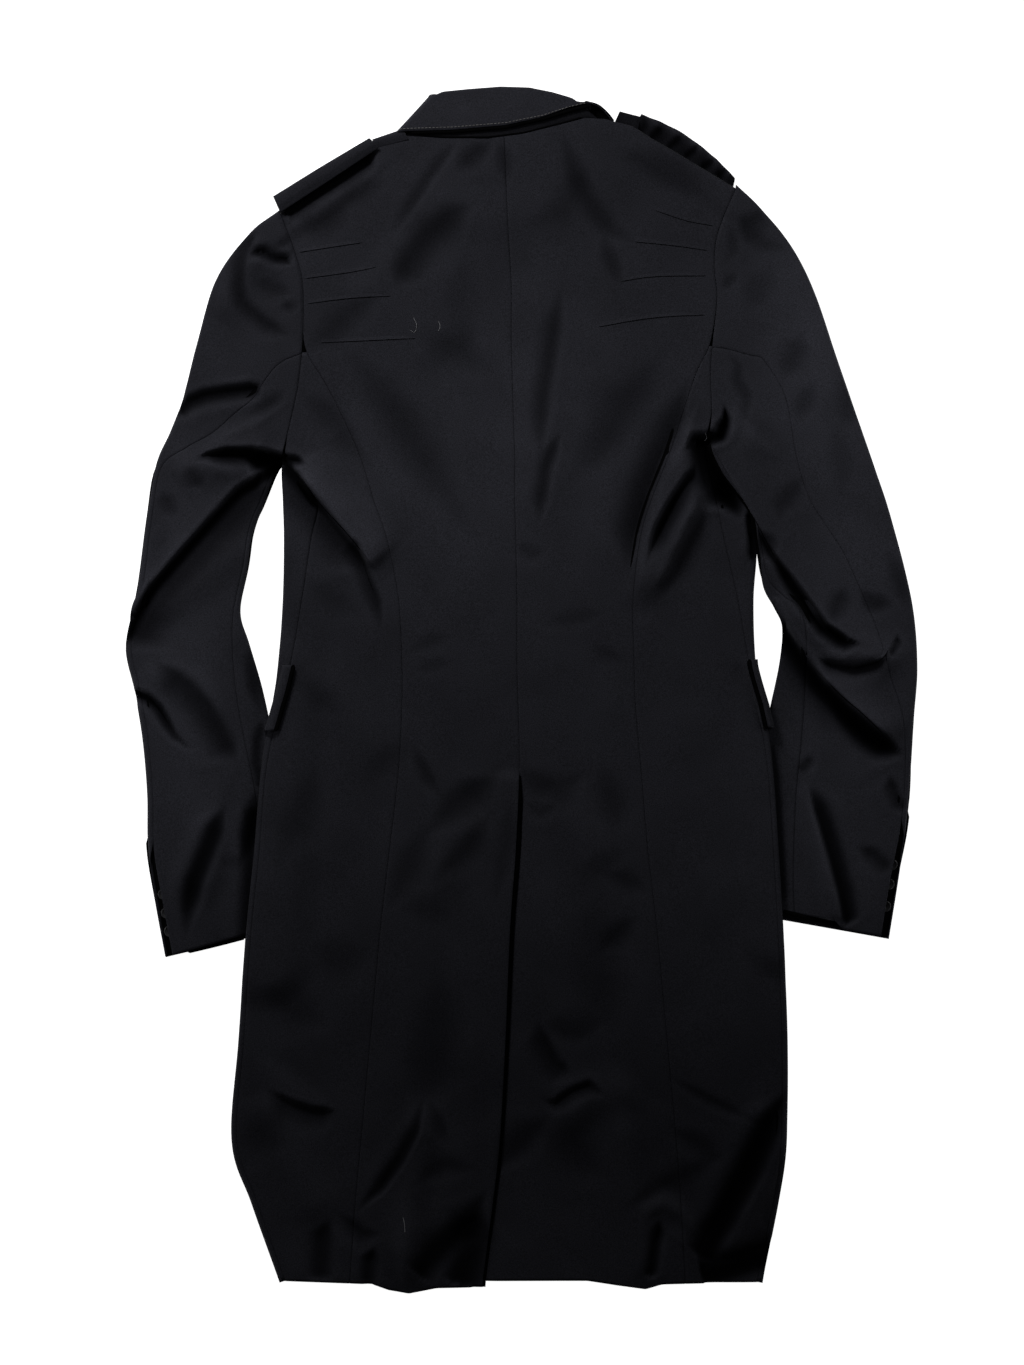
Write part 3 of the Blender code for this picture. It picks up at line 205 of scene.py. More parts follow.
# Lines that two creases follow, a wide one and a narrow one or one of the body and one of the sleeve.
RIGHT_ARMPIT_LINE = [(178, 252), (180, 238), (175, 223), (162, 219), (152, 220), (142, 212)]
LEFT_ELBOW_LINE = [(-212, 199), (-228, 187), (-248, 174), (-270, 150), (-297, 120), (-324, 89), (-341, 59),
                   (-352, 33)]
RIGHT_FOREARM_LINE = [(213, 81), (231, 49), (247, 25), (264, 3), (286, -19), (307, -37), (324, -49),
                      (338, -59)]
BODY_CREASES = [Crease(*row) for row in [
    # left underarm: the back rolls over the side panel
    (20, 3, 4.4, 0.1, [(-204, 202), (-187, 179), (-177, 165), (-155, 140), (-137, 118), (-127, 104)]),
    (4, 20, -5.2, (0.02, 0.3), [(-206, 200), (-192, 179), (-181, 164), (-160, 139), (-140, 114),
     (-130, 97)]),
    (3, 6, -6.0, (0.02, 0.7), [(-211, 202), (-198, 187), (-184, 170), (-165, 150), (-149, 130)]),
    (3, 8, -4.2, (0.1, 0.4), [(-148, 134), (-142, 118), (-135, 99), (-126, 76), (-121, 44)]),
    (3, 4, -8, (0.02, 0.4), [(-213, 204), (-200, 202), (-186, 197)]),
    # right underarm
    (9, 6, 3.4, 0.2, [(157, 255), (143, 216), (129, 185), (117, 154), (106, 114), (101, 79)]),
    (4, 4.5, -16, (0.35, 0.25), RIGHT_ARMPIT_LINE),
    (12, 13, -16, (0.01, 0.3), [(159, 220), (168, 197), (176, 176), (189, 157)]),
    (7, 8, -9, (0.2, 0.4), [(173, 190), (184, 170), (196, 148)]),
    (9, 3, -8.0, (0.15, 0.35), [(154, 199), (144, 183), (131, 163), (120, 142), (113, 121), (109, 106)]),
    (11, 10, -2.6, 0.4, [(168, 169), (152, 136), (136, 104), (117, 74)]),
    (6, 6, 2.6, 0.25, [(157, 174), (143, 145), (129, 114), (115, 86)]),
    (5, 14, -4.2, (0.3, 0.25), [(150, 280), (138, 239), (122, 207), (108, 172), (97, 136), (95, 97)]),
    (3, 4, -9, (0.1, 0.2), [(202, 160), (204, 141), (204, 125), (203, 109)]),
    # upper back
    (8, 8, -2.5, 0.4, [(-22, 486), (-29, 479), (-40, 470), (-52, 459), (-60, 452)]),
    (6, 7, -2.0, 0.4, [(-20, 484), (-17, 475), (-14, 464), (-12, 451), (-11, 442)]),
    (3, 6, -2.3, 0.35, [(-48, 495), (-63, 473), (-79, 451), (-89, 435), (-105, 412), (-120, 391)]),
    (13.5, 10.5, -3.6, (0.3, 0.2), [(-38, 429), (-61, 415), (-80, 400), (-98, 377), (-111, 350)]),
    (12, 12, -2.1, 0.45, [(-114, 353), (-132, 341), (-151, 329), (-168, 312), (-179, 304), (-197, 293)]),
    (12, 10.5, -2.0, 0.45, [(-227, 402), (-206, 412), (-195, 417), (-179, 407), (-168, 412), (-155, 427),
     (-140, 444)]),
    (10.5, 10.5, -1.6, 0.45, [(-166, 426), (-155, 431), (-142, 438), (-124, 444), (-113, 447)]),
    (8, 9, -2.9, 0.35, [(36, 495), (39, 482), (50, 449), (66, 419), (80, 403), (97, 395), (110, 390)]),
    (6, 7.5, -2.4, 0.45, [(71, 404), (74, 392), (80, 377), (86, 360), (90, 348)]),
    (12, 12, -1.6, 0.45, [(66, 466), (56, 449), (38, 421), (16, 410), (-2, 401)]),
    (13.5, 13.5, -2.2, 0.45, [(74, 473), (85, 470), (109, 463), (140, 451), (168, 428), (176, 421)]),
    (5, 9, -2.8, (0.3, 0.3), [(37, 361), (30, 312), (22, 266), (18, 229), (17, 194)]),
    (4, 7, -3.2, 0.3, [(36, 229), (23, 194), (18, 163), (16, 141)]),
    (6, 6, -1.2, 0.4, [(-7, 129), (-1, 125), (9, 118), (18, 121), (25, 124)]),
    (18, 16.5, -2.4, 0.45, [(-170, 315), (-155, 297), (-124, 262), (-98, 220), (-72, 178), (-47, 141),
     (-35, 121)]),
    (13.5, 13.5, -1.3, 0.45, [(-104, 315), (-85, 308), (-56, 297), (-32, 283), (-14, 273)]),
    (18, 18, -2.2, 0.45, [(132, 308), (124, 294), (99, 255), (73, 218), (44, 183), (34, 170)]),
    (13.5, 13.5, -0.9, 0.45, [(-43, 399), (-45, 387), (-54, 343), (-44, 290), (-41, 279)]),
    (10.5, 13.5, -1.9, 0.45, [(-203, 269), (-195, 262), (-163, 234), (-133, 194), (-126, 185)]),
    # the shadow below the left epaulette
    (3, 9, -10, (0.05, 0.15), [(-212, 422), (-190, 434), (-160, 453), (-126, 475)]),
    # waist
    (7.5, 6, -1.1, 0.45, [(-100, 33), (-80, 40), (-58, 49)]),
    (7.5, 6, -1, 0.45, [(-98, 16), (-79, 19), (-56, 25)]),
    (7.5, 6, -1.1, 0.45, [(94, 23), (74, 30), (60, 42)]),
    (7.5, 6, -1, 0.45, [(13, 55), (44, 60), (80, 69)]),
    (13.5, 12, -1.4, 0.45, [(-207, 11), (-181, -2), (-151, -28)]),
    (12, 12, -1, 0.45, [(-195, 97), (-168, 79), (-132, 63)]),
    # skirt
    (13.5, 12, -3.2, 0.45, [(-11, -64), (-19, -70), (-40, -88), (-61, -107), (-80, -125), (-88, -132)]),
    (12, 12, -2.1, 0.45, [(-77, -113), (-86, -130), (-96, -151), (-110, -181), (-119, -199)]),
    (10.5, 10.5, -2.1, 0.45, [(-19, -101), (-31, -118), (-49, -143), (-70, -162), (-85, -176)]),
    (4.5, 6, -2.2, 0.45, [(-98, -44), (-92, -57), (-82, -77), (-72, -92), (-64, -104)]),
    (7.5, 7.5, -1.3, 0.4, [(-7, -86), (-8, -97), (-12, -141), (-22, -185), (-25, -195)]),
    (10.5, 12, -2.5, 0.45, [(-10, -64), (4, -76), (20, -88), (34, -90), (48, -79), (62, -69)]),
    (6, 6, -1.6, 0.4, [(1, -97), (8, -102), (16, -109), (27, -104), (34, -100)]),
    (12, 12, -1.6, 0.45, [(70, -59), (74, -76), (80, -97), (83, -123), (86, -140)]),
    (9, 9, -1.9, 0.45, [(68, -160), (78, -164), (92, -169), (106, -176), (116, -180)]),
    (9, 9, -1.9, 0.45, [(105, -196), (97, -204), (85, -216), (73, -227), (64, -235)]),
    (15, 15, -1.6, 0.45, [(-178, -62), (-184, -84), (-193, -113), (-207, -141), (-217, -160)]),
    (18, 18, -1.7, 0.45, [(-190, -222), (-177, -229), (-160, -239), (-140, -236), (-126, -233)]),
    (18, 15, -1.7, 0.45, [(-236, -261), (-221, -269), (-199, -282), (-179, -292), (-164, -300)]),
    (9, 15, 2.0, 0.45, [(-244, -312), (-227, -327), (-198, -354), (-172, -366), (-151, -376)]),
    (3, 12, -3.8, (0.4, 0.2), [(-228, -348), (-204, -363), (-184, -370), (-160, -371)]),
    (24, 24, -2.2, 0.5, [(-251, -364), (-228, -387), (-198, -405)]),
    (2.5, 7, -5, (0.35, 0.3), [(-85, -354), (-92, -387), (-106, -415), (-124, -440), (-147, -461)]),
    (4.5, 6, -2.1, 0.45, [(-83, -356), (-79, -366), (-72, -382), (-66, -396), (-62, -407)]),
    (9, 7.5, -1.7, 0.45, [(-96, -436), (-85, -429), (-67, -419), (-49, -421), (-36, -422)]),
    (7.5, 9, -3.9, (0.4, 0.05), [(-168, -463), (-174, -484), (-176, -519)]),
    (6, 7.5, -2.7, 0.45, [(-163, -458), (-155, -466), (-140, -480), (-130, -479), (-119, -477)]),
    (6, 6, -4.2, (0.4, 0.05), [(-128, -488), (-133, -503), (-135, -523)]),
    (12, 12, 1.9, 0.45, [(-103, -429), (-103, -440), (-103, -475), (-103, -526), (-103, -537)]),
    (8, 14, -6, (0.45, 0.02), [(-28, -436), (-44, -468), (-68, -491), (-89, -516)]),
    (14, 14, -6, (0.4, 0.02), [(-31, -454), (-42, -484), (-52, -523)]),
    (4.5, 12, -3.5, (0.4, 0.2), [(13, -289), (21, -312), (30, -329), (44, -341)]),
    (15, 7.5, -1.6, 0.45, [(11, -296), (27, -299), (48, -304), (69, -294), (83, -287)]),
    (4, 6, -4.8, 0.3, [(16, -359), (30, -364), (44, -354), (59, -348), (76, -357)]),
    (9, 13.5, -2.5, 0.45, [(30, -370), (18, -382), (0, -400), (-17, -417), (-29, -429)]),
    (18, 18, -2.0, 0.45, [(7, -382), (23, -392), (46, -407), (69, -424), (85, -436)]),
    (7.5, 7.5, 2.5, 0.45, [(101, -487), (104, -477), (111, -456), (125, -449), (140, -459), (157, -480),
     (163, -488)]),
    (5, 5, -5.5, (0.3, 0.05), [(122, -463), (118, -484), (113, -516)]),
    (4.5, 4.5, -1.9, 0.45, [(120, -335), (140, -347), (164, -361), (197, -376), (217, -385)]),
    (9, 9, -1.9, 0.45, [(125, -384), (138, -391), (157, -401), (171, -412), (183, -420)]),
    (9, 9, -1.7, 0.45, [(191, -400), (169, -414), (148, -426), (104, -449), (81, -461)]),
    (9, 11, -11.0, (0.25, 0.05), [(234, -350), (218, -385), (197, -429), (176, -468), (157, -503)]),
    (12, 12, 2.0, 0.45, [(229, -413), (220, -429), (208, -453), (196, -477), (187, -494)]),
    (12, 12, -10.2, (0.05, 0.05), [(224, -493), (197, -503), (157, -516)]),
    (21, 21, -1.9, 0.4, [(-71, -241), (-72, -255), (-75, -317), (-89, -370), (-93, -383)]),
    (21, 21, -1.5, 0.4, [(70, -171), (69, -185), (66, -246), (80, -299), (83, -312)]),
]]
LEFT_SLEEVE_CREASES = [Crease(*row) for row in [
    (3.9, 7.8, -3.7, (0.2, 0.2), [(-228, 414), (-234, 403), (-242, 387), (-246, 374), (-247, 355),
     (-244, 341), (-237, 333), (-224, 322), (-211, 315), (-198, 309)]),
    (4, 4, -8, (0.15, 0.1), [(-239, 384), (-227, 385), (-216, 379), (-201, 378)]),
    (3.9, 3.9, -2.2, 0.42, [(-214, 392), (-203, 391)]),
    (6.5, 7.8, -2.3, 0.42, [(-237, 361), (-218, 352), (-198, 348)]),
    (3.9, 5.2, -2, 0.42, [(-212, 338), (-195, 335)]),
    (7, 4, -8, (0.12, 0.1), [(-228, 269), (-235, 265), (-259, 262), (-278, 259), (-293, 253), (-306, 241)]),
    (6.5, 6.5, -2, 0.42, [(-204, 266), (-223, 248), (-248, 234)]),
    (5.2, 6.5, 2.2, 0.42, [(-198, 257), (-228, 238), (-264, 220), (-292, 206)]),
    (3, 9, -13, (0.4, 0.02), [(-290, 201), (-276, 207), (-258, 209), (-237, 209), (-221, 206),
     (-207, 202)]),
    (7, 9, -12, (0.4, 0.02), [(-244, 203), (-227, 200), (-207, 195)]),
    (24, 3, -7, (0.01, 0.1), LEFT_ELBOW_LINE),
    (4, 3, -7, (0.01, 0.1), LEFT_ELBOW_LINE),
    (5.2, 15.6, 1.6, 0.15, [(-239, 195), (-264, 172), (-287, 143), (-314, 110), (-336, 79)]),
    (7.8, 7.8, -2.2, 0.4, [(-297, 197), (-286, 185), (-279, 172)]),
    (6.5, 6.5, -1.9, 0.4, [(-318, 176), (-309, 160), (-302, 148)]),
    (6.5, 14.3, -5.0, (0.25, 0.15), [(-325, 26), (-308, 14), (-290, 0), (-276, -16), (-266, -33),
     (-258, -49), (-248, -63)]),
    (3, 5, -9.0, (0.05, 0.6), [(-341, -1), (-327, -8), (-318, -17), (-312, -27), (-304, -41), (-293, -51),
     (-279, -48)]),
    (7, 8, -9, (0.25, 0.4), [(-258, -97), (-268, -123), (-277, -145), (-287, -169), (-293, -195),
     (-295, -227)]),
    (7, 8, -8.5, (0.4, 0.45), [(-231, -79), (-237, -110), (-243, -141), (-251, -160)]),
    (6.5, 6.5, -2.2, 0.42, [(-246, -143), (-256, -151), (-267, -157)]),
    (9, 6, -4.5, 0.45, [(-234, 49), (-239, 26), (-235, 0), (-228, -26)]),
    (4, 5, -5.0, (0.2, 0.1), [(-227, -23), (-232, -44), (-233, -63), (-228, -88)]),
    (3, 8, -7.5, (0.1, 0.05), [(-231, -97), (-237, -141), (-239, -185), (-241, -224)]),
    (7.8, 7.8, -1.3, 0.4, [(-309, 150), (-318, 114), (-327, 88)]),
]]
RIGHT_SLEEVE_CREASES = [Crease(*row) for row in [
    (4, 4.5, -16, (0.35, 0.25), RIGHT_ARMPIT_LINE),
    (3, 5, 1.4, 0.3, [(188, 253), (190, 234), (186, 215)]),
    (6.5, 6.5, -1.9, 0.42, [(183, 418), (194, 412), (201, 398), (212, 391), (228, 387), (239, 381)]),
    (11.7, 11.7, -1.9, 0.4, [(194, 421), (206, 405), (215, 392)]),
    (3.9, 5.2, -1.9, 0.42, [(183, 412), (186, 398), (188, 386), (178, 376)]),
    (3.9, 5.2, -1.9, 0.42, [(191, 368), (182, 356), (174, 352)]),
    (11.7, 11.7, -1.3, 0.42, [(221, 374), (208, 348), (196, 330)]),
    (11.7, 10.4, -2, 0.42, [(250, 317), (239, 290), (228, 268)]),
    (7.8, 9.1, -1.9, 0.42, [(259, 271), (249, 249), (242, 231)]),
    (11.7, 11.7, -1.3, 0.42, [(276, 285), (289, 256), (286, 220)]),
    (10.4, 10.4, -1.2, 0.42, [(277, 239), (282, 192), (282, 161)]),
    (3.9, 5.2, -2, 0.42, [(184, 304), (184, 293), (191, 283), (191, 271), (199, 256), (198, 240),
     (211, 235)]),
    (5.2, 7.8, 2.2, 0.42, [(189, 245), (206, 222), (236, 197)]),
    (7.8, 9.1, -2.2, 0.42, [(250, 190), (239, 172), (229, 160), (227, 143)]),
    (7.8, 7.8, -2.6, 0.42, [(287, 93), (277, 70), (268, 55)]),
    (7.8, 6.5, -2.9, 0.42, [(296, 90), (308, 74), (331, 74)]),
    (7.8, 7.8, -2.2, 0.42, [(320, 124), (333, 93), (341, 63)]),
    (3, 7, -14, (0.5, 0.15), [(205, 144), (230, 105), (245, 84), (266, 55), (285, 42), (301, 40)]),
    (8, 8, -6, (0.45, 0.5), [(207, 144), (213, 128), (224, 109)]),
    (3, 7, -6, (0.25, 0.25), [(256, 30), (272, 21), (291, 18), (311, 23), (323, 31)]),
    (5.2, 5.2, 2.3, 0.42, [(256, 37), (280, 28), (317, 33)]),
    (3, 3, -3.5, (0.2, 0.3), [(323, 29), (330, 40), (330, 49)]),
    (4, 19, -7.5, (0.04, 0.15), RIGHT_FOREARM_LINE),
    (4, 8, -8, (0.04, 0.15), RIGHT_FOREARM_LINE),
    (3, 9, -8, (0.5, 0.25), [(264, 0), (286, -23), (305, -42), (323, -53), (338, -59)]),
    (15.6, 5.2, 2.2, 0.42, [(245, 49), (268, 16), (298, -14), (333, -42)]),
    (4, 5, -4.0, (0.1, 0.4), [(244, -71), (250, -65), (257, -57)]),
    (3, 7, -4.0, (0.4, 0.2), [(323, -72), (329, -92), (336, -109)]),
    (5, 7, -3.2, (0.4, 0.2), [(294, -137), (309, -146), (325, -161)]),
    (9, 3, -8, (0.25, 0.05), [(248, -79), (255, -92), (264, -118), (273, -148), (281, -178), (286, -208)]),
    (3.9, 9.1, 2.3, (0.1, 0.02), [(242, -75), (249, -86), (257, -115), (265, -146), (273, -177),
     (278, -200)]),
    (5, 2, -4.0, (0.1, 0.1), [(220, -40), (223, -79), (226, -132), (230, -192)]),
]]


# ---- curves and surfaces ----
TINY = 1e-9
FOLD_END = 0.15        # share of a large fold's length, before and past its end, over which it runs out
CREASE_REACH = 4.0     # how far a crease reaches, in widths
SLIM = 0.2             # a crease's width at its ends, as a share
RIM = 0.12             # how much the cloth beside a crease goes the other way, as a share
RIM_AWAY, RIM_WIDTH = 2.0, 0.9   # where it does so, in widths
THIN_ROLL = 0.15       # least reach of the inner face at a side


def smooth(t):
    """0 to 1 with level ends."""
    t = np.clip(t, 0.0, 1.0)
    return t * t * (3.0 - 2.0 * t)


def curve(values, at):
    """Values at fractional places of their list, on a smooth curve through them."""
    values = np.array(values, float)
    i = np.minimum(at.astype(int), len(values) - 2)
    t = (at - i).reshape(at.shape + (1,) * (values.ndim - 1))
    slope = np.gradient(values, axis=0)
    run = values[i + 1] - values[i]
    a, b = slope[i], slope[i + 1]
    return values[i] + a * t + (3 * run - 2 * a - b) * t**2 + (a + b - 2 * run) * t**3


def along(table, column, at):
    """A table's column at a fractional row number."""
    return curve([getattr(row, column) for row in table], np.clip(at, 0.0, len(table) - 1.0))


def ends_of(table, v):
    """Both ends of row v: x and y of the first, then of the second."""
    return tuple(along(table, column, v) for column in table[0]._fields[:4])


def edge_y(edge, x):
    """Height of an edge of the cut at x."""
    return np.interp(x, *zip(*edge))


def distances(line):
    """How far along a line each of its points is."""
    return np.concatenate([[0.0], np.cumsum(np.linalg.norm(np.diff(line, axis=0), axis=1))])


def points_at(line, way, marks):
    """A line's points at marks, where way says how far along it each point is."""
    return np.stack([np.interp(marks, way, line[:, k]) for k in range(line.shape[1])], 1)


def resample(points, step):
    """A line's points, step apart, on a smooth curve."""
    fine = curve(points, np.linspace(0.0, len(points) - 1.0, 40 * len(points)))
    way = distances(fine)
    return points_at(fine, way, np.linspace(0.0, way[-1], max(3, round(way[-1] / step) + 1)))


def rounded(section, pieces=5):
    """A section's points on a smooth curve, with more of them."""
    return curve(section, np.linspace(0.0, len(section) - 1.0, (len(section) - 1) * pieces + 1))


def directions(line):
    """A line's direction at each of its points."""
    way = np.gradient(line, axis=0)
    return way / np.maximum(np.linalg.norm(way, axis=1), TINY)[:, None]


def lanes(table, x, y):
    """How far the layers below lift the cloth at (x, y)."""
    lift = np.zeros_like(x)
    for lane in table:
        dx, dy = lane.x1 - lane.x0, lane.y1 - lane.y0
        t = np.clip(((x - lane.x0) * dx + (y - lane.y0) * dy) / (dx * dx + dy * dy), 0.0, 1.0)
        away = np.hypot(x - lane.x0 - t * dx, y - lane.y0 - t * dy)
        lift = np.maximum(lift, lane.height * (1.0 - smooth((away - lane.reach) / lane.ramp)))
    return lift


def crests(table, x, y):
    """Height of the large folds at (x, y)."""
    height = np.zeros_like(x)
    for fold in table:
        dx, dy = fold.x1 - fold.x0, fold.y1 - fold.y0
        length = math.hypot(dx, dy)
        t = ((x - fold.x0) * dx + (y - fold.y0) * dy) / length**2
        side = ((y - fold.y0) * dx - (x - fold.x0) * dy) / length
        side = side - fold.bow * 4.0 * t * (1.0 - t)
        ends = smooth((t + FOLD_END) / (2 * FOLD_END)) * smooth((1.0 + FOLD_END - t) / (2 * FOLD_END))
        height += fold.height * np.exp(-(side / fold.width) ** 2) * ends
    return height


def nearest(points, x, y):
    """Distance to a line through points, which side of it (+1 left), and the share of the way along."""
    points = np.array(points, float)
    starts = distances(points)
    best = np.full(x.shape, np.inf)
    side, share = np.zeros_like(x), np.zeros_like(x)
    for (x0, y0), (x1, y1), start, step in zip(points, points[1:], starts, np.diff(starts)):
        dx, dy = (x1 - x0) / step, (y1 - y0) / step
        t = np.clip((x - x0) * dx + (y - y0) * dy, 0.0, step)
        away = np.hypot(x - x0 - t * dx, y - y0 - t * dy)
        closer = away < best
        best = np.where(closer, away, best)
        side = np.where(closer, np.sign((y - y0) * dx - (x - x0) * dy), side)
        share = np.where(closer, (start + t) / starts[-1], share)
    return best, side, share


def creases(table, x, y):
    """Height of the creases at (x, y)."""
    height = np.zeros_like(x)
    for crease in table:
        low, high = np.min(crease.points, axis=0), np.max(crease.points, axis=0)
        margin = CREASE_REACH * max(crease.left, crease.right)
        near = (x > low[0] - margin) & (x < high[0] + margin)
        near &= (y > low[1] - margin) & (y < high[1] + margin)
        if not near.any():
            continue
        away, side, share = nearest(crease.points, x[near], y[near])
        start, stop = np.broadcast_to(crease.fade, 2)
        ends = smooth(share / start) * smooth((1.0 - share) / stop)
        width = np.where(side >= 0, crease.left, crease.right) * (SLIM + (1.0 - SLIM) * ends)
        swell = np.exp(-(away / width) ** 2)
        swell -= RIM * np.exp(-((away / width - RIM_AWAY) / RIM_WIDTH) ** 2)
        height[near] += crease.height * swell * ends
    return height


def drift(x, y):
    """Slight unevenness of cloth that has been worn: two sets of crossing waves, millimetres long."""
    a = np.sin(x / 23.0 + 1.3 * np.sin(y / 61.0)) * np.sin(y / 37.0 + 1.1 * np.sin(x / 43.0))
    b = np.sin((x + 0.6 * y) / 13.0 + 0.9 * np.sin(y / 19.0)) * np.sin((y - 0.4 * x) / 17.0)
    return 0.55 * a + 0.16 * b


def body_relief(x, y):
    return creases(BODY_CREASES, x, y)


def sleeve_relief(x, y):
    return creases(LEFT_SLEEVE_CREASES, x, y) + creases(RIGHT_SLEEVE_CREASES, x, y)


def body_floor(x, y):
    return lanes(SLEEVE_UNDER_BODY + FLAPS_UNDER + SHOULDERS_UP + COLLAR_UNDER, x, y)


def body_top(x, y):
    detail = body_relief(x, y) + drift(x, y)
    lift = lanes(SLEEVE_UNDER_BODY + SHOULDERS_UP + COLLAR_UNDER, x, y)
    return lift + LOFT + np.maximum(crests(BODY_FOLDS, x, y) + detail, SAG)


def sleeve_floor(x, y):
    return lanes(SHOULDERS_UP, x, y)


def sleeve_top(x, y):
    """A sleeve is as low as TUCKED_SLEEVE where the body lies on it, and free beyond."""
    free = 1.0 - lanes(SLEEVE_UNDER_BODY, x, y) / (TUCKED_SLEEVE + TUCK_AIR)
    detail = sleeve_relief(x, y) + drift(x, y)
    loft = LOFT - TUCKED_SLEEVE + np.maximum(crests(SLEEVE_FOLDS, x, y) + detail, SAG)
    return sleeve_floor(x, y) + TUCKED_SLEEVE + free * loft


class Tube(namedtuple("Tube", "ends shape floor top inset")):
    """A flattened tube of cloth. At row v, ends(v) gives its two ends, shape(v, x, y, over) bends it in plan,
    and inset(v) says how far its sides roll. floor(x, y) and top(x, y) are its heights."""

    def width(self, v):
        ax, ay, bx, by = self.ends(v)
        return np.hypot(bx - ax, by - ay)

    def point(self, v, a, rise=None, dip=0.0):
        """Outer and inner face at row v. a is the way along the ring, from where the top leaves the left
        roll. rise(x, y) lifts both faces, and dip lowers the top."""
        ax, ay, bx, by = self.ends(v)
        width = self.width(v)
        ux, uy = (bx - ax) / width, (by - ay) / width
        left, right = self.inset(v)
        flat = width - left - right
        turn_l, turn_r = math.pi * left, math.pi * right
        a = np.mod(a + turn_l + flat, 2 * flat + turn_l + turn_r) - turn_l - flat
        over = (a >= 0) & (a <= flat)
        in_left = (a < 0) & (a > -turn_l)
        in_right = (a > flat) & (a < flat + turn_r)
        run = np.where(over, a, np.where(in_right, flat, 0.0))
        run = np.where(a <= -turn_l, -a - turn_l, run)
        run = np.where(a >= flat + turn_r, 2 * flat + turn_r - a, run)
        run = np.clip(run, 0.0, flat)
        angle = np.where(in_left, -a / np.maximum(left, TINY), 0.0)
        angle = np.where(in_right, (a - flat) / np.maximum(right, TINY), angle)
        angle = np.where(~(over | in_left | in_right), math.pi, angle)
        x, y = ax + ux * (left + run), ay + uy * (left + run)
        px, py = self.shape(v, x, y, angle <= math.pi / 2)
        low, high = self.floor(px, py), self.top(px, py) - dip
        if rise:
            high, low = high + rise(px, py), low + rise(px, py)
        out = np.sin(angle) * np.where(in_left, -1.0, 1.0)
        up = np.cos(angle)
        reach = np.where(in_left, left, right)
        mid, half = (low + high) / 2, (high - low) / 2
        return [np.stack([px + ux * out * far, py + uy * out * far, mid + up * tall], -1)
                for far, tall in ((reach, half), (np.maximum(reach - WALL, THIN_ROLL), half - WALL))]


# ---- body ----
ARMPIT_PUFF = 0.8      # how much thicker the side roll is at the armpit
ROLL_END = 0.6         # rows over which the side roll ends above the armpit
FAN_POWER = 1.3        # how the last rows fan out to the shoulders
LEAN_REACH = 30.0      # how far from the armhole a shoulder leans
FRONT_SHORT = 0.7      # how far the fronts' shoulder edge lies below the back's
HEM_ROWS = 1.5         # rows over which the hem's curve fades
LEAD = 30.0            # the climb onto another panel begins this far before its edge
VENT_RAMP, FRONT_RAMP = 44.0, 26.0   # and takes this long
FRONT_AIR = 0.6
SIDE_SEAMS = {"left": ("side_l", "princess_l"), "right": ("princess_r", "side_r")}
EDGE_COLUMNS = [0.0, 0.5, 1.1, 1.8]  # columns beside a seam
EDGE_SHARE = 0.12      # and the most of a panel's width that they take
FRONT_CROWD = 0.4      # columns of a front that end at the armhole stay this far apart
FRONT_ROW = 1.6        # the fronts lie underneath, so their rows are this much farther apart
VENT_TAPER = 30.0      # length over which the right panel's underlap begins
SHOULDER_TIP = 40.0    # how far from the armhole the shoulder's roll follows the sleeve's line
NECK_FADE = 48.0       # length over which the shoulder's roll ends at the neck
ROLL_TURN = 0.94       # how far it turns, as a share of half a turn
RUN_ON = 3.0           # how far the back runs on at the neck seam


def body_ends(v):
    return ends_of(BODY, v)


def body_inset(v):
    """The side edges roll up to the armpits. Above them the row ends at the armholes."""
    roll = ROLL * (1.0 - smooth((v - ARMPIT) / ROLL_END)) + SEAM_GAP / 2
    roll = roll + ARMPIT_PUFF * np.sin(math.pi * np.clip(v - ARMPIT, 0.0, 1.0))
    return roll, roll


def shoulder_line(x):
    ends = BODY[-1]
    return np.interp(x, [ends.left_x, ends.right_x], [ends.left_y, ends.right_y])


def hollow(share):
    """How far the front half of the neck lies below the back half, at a share of the way across."""
    return FRONT_NECK_DROP * (4 * share * (1 - share)) ** 2


def front_top(x):
    """The fronts' top edge: shoulders, and a neckline that dips between them."""
    t = np.clip((x - NECK[0]) / (NECK[1] - NECK[0]), 0.0, 1.0)
    neckline = NECK_HEIGHT[0] + (NECK_HEIGHT[1] - NECK_HEIGHT[0]) * t - hollow(t)
    return np.where((t > 0) & (t < 1), neckline, edge_y(TOP_EDGE, x))


def body_shape(v, x, y, over):
    """The last rows fan out to the top edge, and the first ones follow the hem."""
    fan = np.clip((v - FAN) / (SHOULDER - FAN), 0.0, 1.0) ** FAN_POWER
    ax, _, bx, _ = body_ends(v)
    lean = SHOULDER_LEAN * (smooth(1.0 - (x - ax) / LEAN_REACH) - smooth(1.0 - (bx - x) / LEAN_REACH))
    top = np.where(over, edge_y(TOP_EDGE, x), front_top(x) - FRONT_SHORT) - ROLL
    y = y + fan * (top - shoulder_line(x))
    x = x + fan * ROLL * lean
    hem = np.clip(1.0 - v / HEM_ROWS, 0.0, 1.0)
    return x, y + hem * np.where(x < HEM_SPLIT, edge_y(HEM_LEFT, x), edge_y(HEM_RIGHT, x))


BODY_TUBE = Tube(body_ends, body_shape, body_floor, body_top, body_inset)


def seam(v, column):
    """Way along the ring at which a seam crosses row v."""
    ax, _, bx, _ = body_ends(v)
    left, right = body_inset(v)
    width = BODY_TUBE.width(v)
    return np.clip((along(BODY, column, v) - ax) / (bx - ax) * width - left, 0.0, width - left - right)


def body_rows(cell, last=SHOULDER):
    """Rows a cell apart, up to one of them."""
    at = np.linspace(0.0, last, 4000)
    height = (along(BODY, "left_y", at) + along(BODY, "right_y", at)) / 2
    count = round((height[-1] - height[0]) / cell)
    return np.interp(np.linspace(height[0], height[-1], count), height, at)


